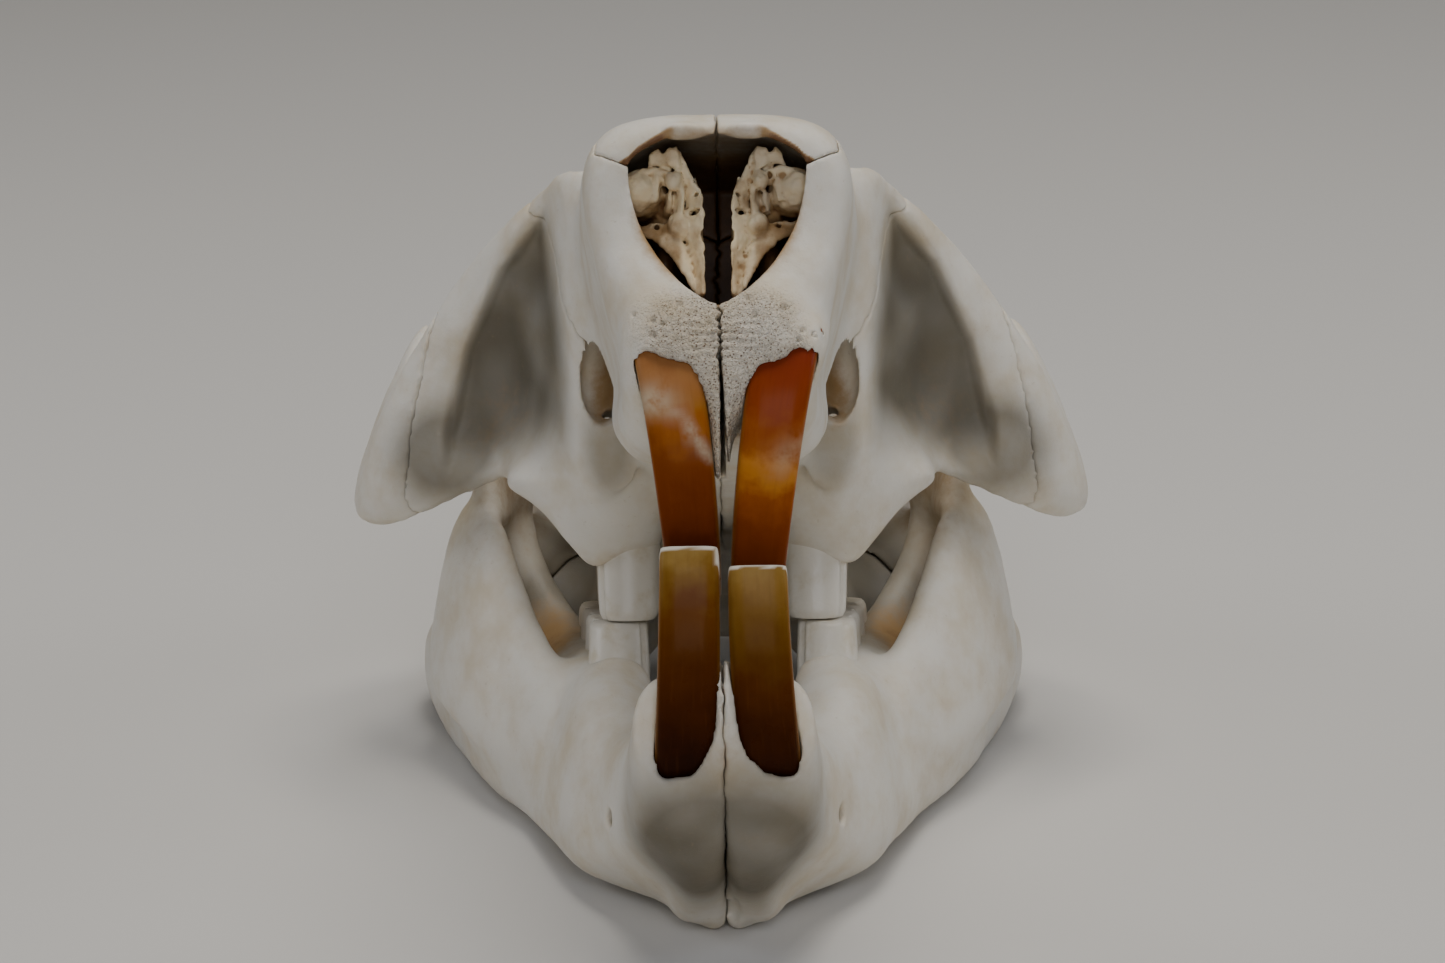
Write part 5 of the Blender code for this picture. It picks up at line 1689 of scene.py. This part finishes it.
def bone_material(name, looks, pale):
    """Dry bone, cleaned and bleached, with no varnish.

    It gives the eye a matt ivory with warm clouds and a little light inside. Stain, and painted shade deep in
    the nose, turn it tan, then brown; painted shade greys the hollows and the chin; specks, grain and pores
    break up its sheen."""
    material, tree, where, fields = new_material(name, BONE_SIZES, ("stain", "dusk", "porous"))
    porous = fields["porous"]
    veil = add(tree, "Math", {0: fields["veil"], 1: 0.35, 2: fields["stain"]}, operation="MULTIPLY_ADD")
    away = add(tree, "TexVoronoi", {"Vector": where, "Scale": 1 / (PORE_SPACING * MM)}, "Distance")
    limits = {"Value": away, "From Min": 0.36, "From Max": 0.1}
    hole = add(tree, "MapRange", limits, interpolation_type="SMOOTHSTEP")
    limits = {"Value": fields["thread"], "From Min": 0.4, "From Max": 0.6}
    thread = add(tree, "MapRange", limits, interpolation_type="SMOOTHSTEP")
    pit = add(tree, "Math", {0: hole, 1: porous}, operation="MULTIPLY")
    web = add(tree, "Math", {0: thread, 1: pit}, operation="SUBTRACT")
    web = add(tree, "Math", {0: web, 1: porous}, operation="MULTIPLY")
    # the second layer paints shade into the hollows and under the chin; the three stain layers paint stains,
    # and also the shade deep in the nose and on its scrolls
    layers = (
        (fields["cloud"], "SMOOTHSTEP", 0.35, 0.75, 1.0, looks.bone_warm),
        (fields["dusk"], "LINEAR", 0.0, 1.0, 0.92, looks.painted_shade_colour),
        (fields["fleck"], "SMOOTHSTEP", 0.62, 0.78, 0.28, looks.bone_speck),
        (veil, "SMOOTHSTEP", 0.2, 0.62, 1.0, looks.tan_stain_and_shade),
        (veil, "SMOOTHSTEP", 0.55, 1.0, 1.0, looks.brown_stain_and_shade),
        (veil, "SMOOTHSTEP", 0.95, 1.35, 0.75, looks.dark_stain_and_shade),
        (porous, "LINEAR", 0.0, 1.0, 0.3, looks.bone_speck),
        (pit, "LINEAR", 0.0, 1.0, 0.75, looks.brown_stain_and_shade),
    )
    inputs = {
        "Roughness": add(tree, "Math", {0: fields["gloss"], 1: 0.16, 2: 0.46}, operation="MULTIPLY_ADD"),
        "Specular IOR Level": 0.42,
        "Subsurface Weight": 0.15,
        "Subsurface Radius": (1.0, 0.7, 0.45),
        "Subsurface Scale": 0.9 * MM,
    }
    reliefs = ((fields["grain"], 0.03), (fields["swell"], 0.08), (web, 0.16))
    dress(tree, linear(pale), layers, reliefs, inputs)
    return material


# enamel colours by the share of the way from the root to the tip; they darken towards the lower end of each
# tooth, partly in the enamel's own colour and partly as painted shade
UPPER_RIGHT_STOPS = (
    (0.06, "#8E5A34"),
    (0.13, "#9E6C40"),
    (0.20, "#9C683A"),
    (0.29, "#9A642A"),
    (0.34, "#96520C"),
    (0.42, "#7E3C03"),
    (0.56, "#743200"),
    (0.72, "#5E2400"),
    (1.0, "#481800"),
)
UPPER_LEFT_STOPS = (
    (0.06, "#7C2E1C"),
    (0.16, "#803214"),
    (0.30, "#86380A"),
    (0.39, "#98500E"),
    (0.45, "#BC7830"),
    (0.51, "#B87428"),
    (0.57, "#964A08"),
    (0.68, "#7A3400"),
    (1.0, "#521C00"),
)
LOWER_RIGHT_STOPS = (
    (0.24, "#200A00"),
    (0.36, "#341400"),
    (0.50, "#482002"),
    (0.62, "#522804"),
    (0.80, "#64390E"),
    (0.92, "#7C5A22"),
    (1.0, "#94763E"),
)
LOWER_LEFT_STOPS = (
    (0.24, "#220B00"),
    (0.44, "#3E1A00"),
    (0.62, "#562B05"),
    (0.80, "#6E4A16"),
    (0.93, "#86642C"),
    (1.0, "#94763E"),
)

# noises of the enamel
ENAMEL_SIZES = {
    "swirl": (5.0, 4.0, 0.55),
    "soft": (2.5, 3.0, 0.6),
    "wave": (2.4, 2.0, 0.5),
    "gloss": (1.8, 2.0, 0.5),
}
# how far the clouds shift the colours along the tooth, as a share of its length
SWIRL = 0.26
# streaks about 0.5 mm wide and 6 mm long: the scale of their noise across the tooth, where half its width
# is 1, and along it, where its whole length is 1
STREAKS = (9.0, 6.0, 1.0)


def enamel_material(name, stops, polish):
    """Tooth enamel rich in iron, polished by wear, in front of paler dentine.

    It gives the eye a soft gloss over an orange that deepens towards the root of the lower teeth and the tip
    of the upper ones, partly its own colour and partly painted shade, in clouds and faint streaks, with a
    bright edge where light shines through."""
    marks = ("along", "across", "cream", "dentine", "chip")
    material, tree, _, fields = new_material(name, ENAMEL_SIZES, marks)
    along, across, cream, back, chip = (fields[mark] for mark in marks)
    # the noise lies round 0.5, so half of the shift comes off again
    middle = add(tree, "Math", {0: along, 1: SWIRL / 2}, operation="SUBTRACT")
    marble = add(tree, "Math", {0: fields["swirl"], 1: SWIRL, 2: middle}, operation="MULTIPLY_ADD")
    colour = add(tree, "ValToRGB", {"Fac": marble}, "Color")
    band = colour.node.color_ramp
    while len(band.elements) < len(stops):
        band.elements.new(0.5)
    for element, (position, code) in zip(band.elements, stops):
        element.position = position
        element.color = linear(code)
    combed = add(tree, "CombineXYZ", {0: across, 1: along})
    combed = add(tree, "VectorMath", {0: combed, 1: STREAKS}, operation="MULTIPLY")
    streak = add(tree, "TexNoise", {"Vector": combed, "Scale": 1.0, "Detail": 4.0}, "Fac")
    edge = add(tree, "Math", {0: across}, operation="ABSOLUTE")
    limits = {"Value": fields["soft"], "From Min": 0.2, "From Max": 0.6}
    soft = add(tree, "MapRange", limits, interpolation_type="SMOOTHSTEP")
    patch = add(tree, "Math", {0: cream, 1: soft}, operation="MULTIPLY")
    layers = (
        (streak, "SMOOTHSTEP", 0.52, 0.8, 0.05, "#B4702C"),
        (streak, "SMOOTHSTEP", 0.5, 0.25, 0.1, "#3C1402"),
        (edge, "SMOOTHSTEP", 0.82, 0.98, 0.35, "#B47A2A"),
        (patch, "LINEAR", 0.0, 1.0, 1.0, "#C0B39C"),
        (back, "LINEAR", 0.0, 1.0, 1.0, "#B9A987"),
        (chip, "LINEAR", 0.0, 1.0, 1.0, "#E4DECF"),
    )
    bare = add(tree, "Math", {0: back, 1: chip}, operation="MAXIMUM")
    rough = add(tree, "Math", {0: fields["gloss"], 1: 0.1, 2: 0.4 - 0.2 * polish}, operation="MULTIPLY_ADD")
    inputs = {
        "Roughness": add(tree, "Math", {0: bare, 1: 0.3, 2: rough}, operation="MULTIPLY_ADD"),
        "Specular IOR Level": 0.05 * polish,
        "Coat Weight": 0.02 * polish,
        "Coat Roughness": 0.1,
    }
    dress(tree, colour, layers, ((streak, 0.008), (fields["wave"], 0.05)), inputs)
    return material


# noises of the cheek teeth
TOOTH_SIZES = {"cloud": (4.0, 4.0, 0.6), "wave": (1.2, 2.0, 0.5)}


def tooth_material():
    """Enamel and dentine of the cheek teeth, unworn on their sides.

    It gives the eye an ivory a little glossier than the bone, with faint yellow clouds."""
    material, tree, _, fields = new_material("cheek tooth", TOOTH_SIZES)
    clouds = ((fields["cloud"], "SMOOTHSTEP", 0.45, 0.8, 1.0, "#CBBFA4"),)
    dress(tree, linear("#DFDACE"), clouds, ((fields["wave"], 0.08),), {"Roughness": 0.34})
    return material


def floor_material(looks):
    """Plain matt paint, which gives the eye no gloss."""
    material = bpy.data.materials.new("floor")
    material.use_nodes = True
    dress(material.node_tree, linear(looks.floor_colour), (), (), {"Roughness": 0.8})
    return material


# Pieces with their marks


def incisor_marks(side, upper, around, count, ends):
    """Marks in the order of incisor's points, of which the last ends lie on its worn face.

    They are the place along and across the tooth, and shares of dentine, cream patch and chip."""
    along = np.concatenate([np.repeat(np.linspace(0, 1, count), around), np.ones(ends)])
    across, inward = (np.tile(values, count) for values in tooth_section(around))
    across = np.concatenate([across, np.zeros(ends)])
    dentine = np.concatenate([smoothstep(0.16, 0.3, inward), np.ones(ends)])
    medial = -side * across
    jag = lattice_noise(np.stack([across * 3.6, along * 0, along * 0 + side], 1), 0.8, 51)
    chip = smoothstep(0.990, 0.994, along + 0.005 * jag)
    if side < 0:
        # a pale streak runs down and inwards from a patch at the root, and a corner of the lower tip is off
        centre = 0.1 + 4.7 * (along - 0.29)
        streak = np.exp(-(((medial - centre) / 0.2) ** 2))
        streak *= smoothstep(0.26, 0.31, along) * smoothstep(0.5, 0.42, along)
        patch = np.exp(-(((medial + 0.62) / 0.55) ** 2 + ((along - 0.256) / 0.05) ** 2))
        cream = 0.85 * np.maximum(streak, patch)
        corner = smoothstep(0.76, 0.84, medial + 0.1 * jag) * smoothstep(0.935, 0.945, along + 0.01 * jag)
        chip = np.maximum(chip, corner)
    else:
        # a pale band crosses the outer half
        band = np.exp(-(((along - 0.47 - 0.05 * medial) / 0.06) ** 2))
        cream = 0.35 * band * smoothstep(0.2, -0.4, medial)
    marks = {"along": along, "across": across, "dentine": dentine}
    return marks | {"cream": cream * upper, "chip": chip * (not upper)}


def incisor_piece(side, word, upper, material, around=56, count=130):
    """One incisor in its enamel, with its marks."""
    jaw = "upper" if upper else "lower"
    shape = (upper_incisor if upper else lower_incisor)(side, around=around, count=count)
    name = f"{jaw}_incisor_{word}"
    obj = linked(name, mesh_of(name, [shape]))
    ends = len(obj.data.vertices) - around * count
    paint(obj.data, **incisor_marks(side, upper, around, count, ends))
    return finished(obj, name, material, [name], sharp=50)


def aim(obj, place, target, up=None):
    """Puts obj at place, looking at the target."""
    back = (Vector(place) - Vector(target)).normalized()
    side = Vector(up or (0, 0, 1)).cross(back).normalized()
    turn = Matrix((side, back.cross(side), back)).transposed().to_4x4()
    turn.translation = place
    obj.matrix_world = turn


def softbox(name, place, target, size, power, colour):
    """Square soft light."""
    light = bpy.data.lights.new(name, "AREA")
    light.size = size
    light.energy = power
    light.color = linear(colour)[:3]
    aim(linked(name, light), place, target)


def photo_camera():
    """The camera of the photograph, pitched in the cranial frame and rolled a little."""
    camera = bpy.data.cameras.new("camera")
    camera.sensor_width = 36.0
    camera.lens = CAMERA_FOCAL * camera.sensor_width / PHOTO_WIDTH
    camera.clip_start = 0.01
    look = np.array([0, math.cos(CAMERA_PITCH), math.sin(CAMERA_PITCH)])
    up = np.array([0, -math.sin(CAMERA_PITCH), math.cos(CAMERA_PITCH)])
    eye = -look * CAMERA_DISTANCE - up * CAMERA_DROP + np.array([CAMERA_ASIDE, 0, 0])
    tip = Matrix.Rotation(-REST_TILT, 3, "X")
    back = Vector((0, REST_BACK, -REST_LEVEL))
    place = (tip @ Vector(eye) + back) * MM
    look = tip @ Vector(look)
    up = Matrix.Rotation(CAMERA_ROLL, 3, look) @ (tip @ Vector(up))
    obj = linked("camera", camera)
    aim(obj, place, place + look, up)
    bpy.context.scene.camera = obj


# The add-on

SKY_COLOUR = "#F4F5F8"
SKY_STRENGTH = 0.045
# soft lights: name, place and target in metres, size, property that holds the power, and colour
LIGHTS = (
    ("key", (0.06, 0.05, 0.75), (0, 0, 0.06), 0.4, "key_power", "#FFFAF2"),
    ("side left", (0.62, 0.06, 0.3), (0, 0, 0.06), 0.3, "side_power", "#F4F7FF"),
    ("side right", (-0.62, 0.06, 0.3), (0, 0, 0.06), 0.3, "side_power", "#F4F7FF"),
    ("low", (0.0, -0.55, 0.17), (0, -0.04, 0.09), 0.12, "low_power", "#FFF2DE"),
    ("fill", (0.03, -0.62, 0.46), (0, -0.04, 0.08), 0.24, "fill_power", "#EEF3FF"),
)


def hex_colour(name, place, code):
    """A property that holds a colour."""
    description = f"Colour of {place}, as an sRGB hex code"
    return bpy.props.StringProperty(name=name, description=description, default=code)


def light_power(name, place, watts):
    """A property that holds the power of a light."""
    description = f"Power of the soft light {place}"
    return bpy.props.FloatProperty(name=name, description=description, default=watts, min=0.0, unit="POWER")


class SkullLooks(bpy.types.PropertyGroup):
    """Sizes and colours that a user would change."""

    seam_gap: bpy.props.FloatProperty(
        name="Seam gap", description="Width of the sutures in mm", default=SEAM_GAP, min=0.05, max=0.3
    )
    relief: bpy.props.FloatProperty(
        name="Relief", description="Strength of the fine relief of the bone", default=1.0, min=0.0, max=3.0
    )
    polish: bpy.props.FloatProperty(
        name="Polish", description="Gloss of the enamel", default=0.8, min=0.0, max=1.0, subtype="FACTOR"
    )
    bone_pale: hex_colour("Pale bone", "the palest bone", "#DEDAD0")
    bone_warm: hex_colour("Warm bone", "the warm clouds in the bone", "#CFC3AC")
    scroll_bone: hex_colour("Scroll bone", "the thin bones in the nose", "#F4E2BC")
    # colour of the painted shade in the hollows and under the chin
    painted_shade_colour: hex_colour("Painted shade", "the painted shade in the hollows and under the chin", "#585140")
    bone_speck: hex_colour("Specks", "the specks and the spongy bone", "#A08A68")
    # the stain colours paint stains, and also the shade deep in the nose and on its scrolls
    tan_stain_and_shade: hex_colour("Tan stain", "a light stain", "#A98A60")
    brown_stain_and_shade: hex_colour("Brown stain", "a strong stain", "#6E4A28")
    dark_stain_and_shade: hex_colour("Dark stain", "the darkest stain", "#3A2815")
    floor_colour: hex_colour("Floor", "the floor", "#D0CECA")
    key_power: light_power("Key light", "above", 3.6)
    side_power: light_power("Side lights", "on either side", 0.9)
    low_power: light_power("Low light", "that looks into the nose", 0.25)
    fill_power: light_power("Fill light", "in front", 1.1)


class SKULL_OT_upper_skull(bpy.types.Operator):
    """Builds the bones of the upper skull, parted along their sutures"""

    bl_idname = "skull.upper_skull"
    bl_label = "Upper skull"

    def execute(self, context):
        looks = context.scene.skull_looks
        material = bone_material(BONE_NAME, looks, looks.bone_pale)
        for name, obj in cranium_bones(looks.seam_gap).items():
            finished_bone(obj, name, material, looks.relief)
        return {"FINISHED"}


class SKULL_OT_lower_jaw(bpy.types.Operator):
    """Builds the two halves of the lower jaw"""

    bl_idname = "skull.lower_jaw"
    bl_label = "Lower jaw"

    def execute(self, context):
        looks = context.scene.skull_looks
        material = bpy.data.materials[BONE_NAME]
        for side, word in SIDES:
            bone = dentary_bone(side, looks.seam_gap)
            finished_bone(bone, f"dentary_{word}", material, looks.relief)
        return {"FINISHED"}


class SKULL_OT_incisors(bpy.types.Operator):
    """Builds the four incisors in their enamel"""

    bl_idname = "skull.incisors"
    bl_label = "Incisors"

    def execute(self, context):
        polish = context.scene.skull_looks.polish
        stops = {
            "left": (UPPER_LEFT_STOPS, LOWER_LEFT_STOPS),
            "right": (UPPER_RIGHT_STOPS, LOWER_RIGHT_STOPS),
        }
        for side, word in SIDES:
            upper = enamel_material(f"upper enamel {word}", stops[word][0], polish)
            lower = enamel_material(f"lower enamel {word}", stops[word][1], polish)
            incisor_piece(side, word, True, upper)
            incisor_piece(side, word, False, lower)
        return {"FINISHED"}


class SKULL_OT_cheek_teeth(bpy.types.Operator):
    """Builds the rows of cheek teeth in both jaws"""

    bl_idname = "skull.cheek_teeth"
    bl_label = "Cheek teeth"

    def execute(self, context):
        material = tooth_material()
        for side, word in SIDES:
            for lower, jaw, node in ((False, "upper", "maxilla"), (True, "lower", "dentary")):
                name = f"{jaw}_cheek_teeth_{word}"
                obj = linked(name, mesh_of(name, tooth_row(side, lower)))
                finished(obj, name, material, [f"{node}_{word}"], sharp=50)
        return {"FINISHED"}


class SKULL_OT_turbinates(bpy.types.Operator):
    """Builds the scrolls of thin bone in the nose"""

    bl_idname = "skull.turbinates"
    bl_label = "Scrolls in the nose"

    def execute(self, context):
        looks = context.scene.skull_looks
        material = bone_material("scroll bone", looks, looks.scroll_bone)
        for side, word in SIDES:
            obj = turbinate_bone(side)
            points = read_points(obj.data)
            # painted shade: the scrolls darken deeper in the nose, low down and in their hollows, over a pale
            # base and a random tone
            depth = smoothstep(5.6, 12.5, points[:, 1])
            low = smoothstep(-8.2, -10.0, points[:, 2]) * smoothstep(4.0, 5.2, np.abs(points[:, 0]))
            hollow_shade = smoothstep(0.0, 0.3, hollowness(obj, 14))
            stain = 0.1 + 0.75 * depth + 0.26 * low + 0.45 * hollow_shade + 0.2 * lattice_noise(points, 2.2, 41)
            plain = np.zeros(len(points))
            paint(obj.data, stain=np.clip(stain, 0, 1), dusk=plain, porous=plain)
            finished(obj, f"turbinate_{word}", material, [f"turbinate_{word}"])
        return {"FINISHED"}


class SKULL_OT_stage(bpy.types.Operator):
    """Sets the floor, the lights and the camera"""

    bl_idname = "skull.stage"
    bl_label = "Stage"

    def execute(self, context):
        looks = context.scene.skull_looks
        corners = np.array([(-1, -1, 0), (1, -1, 0), (1, 1, 0), (-1, 1, 0)], float) * FLOOR_HALF
        plane = (corners, np.arange(4)[None], np.empty((0, 3), int))
        floor = linked("floor", mesh_of("floor", [plane]))
        floor.data.materials.append(floor_material(looks))
        world = bpy.data.worlds.new("studio")
        world.use_nodes = True
        sky = {"Color": linear(SKY_COLOUR), "Strength": SKY_STRENGTH}
        fill(world.node_tree, world.node_tree.nodes["Background"], sky)
        context.scene.world = world
        for name, place, target, size, power, colour in LIGHTS:
            softbox(name, place, target, size, getattr(looks, power), colour)
        photo_camera()
        return {"FINISHED"}


OPERATORS = (
    SKULL_OT_upper_skull,
    SKULL_OT_lower_jaw,
    SKULL_OT_incisors,
    SKULL_OT_cheek_teeth,
    SKULL_OT_turbinates,
    SKULL_OT_stage,
)


class SKULL_PT_panel(bpy.types.Panel):
    """Lists the sizes, the colours and the operators"""

    bl_idname = "SKULL_PT_panel"
    bl_label = "Beaver skull"
    bl_space_type = "VIEW_3D"
    bl_region_type = "UI"
    bl_category = "Skull"

    def draw(self, context):
        looks = context.scene.skull_looks
        for key in SkullLooks.__annotations__:
            self.layout.prop(looks, key)
        for operator in OPERATORS:
            self.layout.operator(operator.bl_idname)


def register():
    """Makes the sizes, the colours, the operators and the panel known to Blender."""
    for item in (SkullLooks, *OPERATORS, SKULL_PT_panel):
        bpy.utils.register_class(item)
    bpy.types.Scene.skull_looks = bpy.props.PointerProperty(type=SkullLooks)


def unregister():
    """Takes back what register did."""
    del bpy.types.Scene.skull_looks
    for item in reversed((SkullLooks, *OPERATORS, SKULL_PT_panel)):
        bpy.utils.unregister_class(item)


def main():
    """Builds the skull."""
    register()
    bpy.ops.skull.upper_skull()
    bpy.ops.skull.lower_jaw()
    bpy.ops.skull.incisors()
    bpy.ops.skull.cheek_teeth()
    bpy.ops.skull.turbinates()
    bpy.ops.skull.stage()


if __name__ == "__main__":
    main()
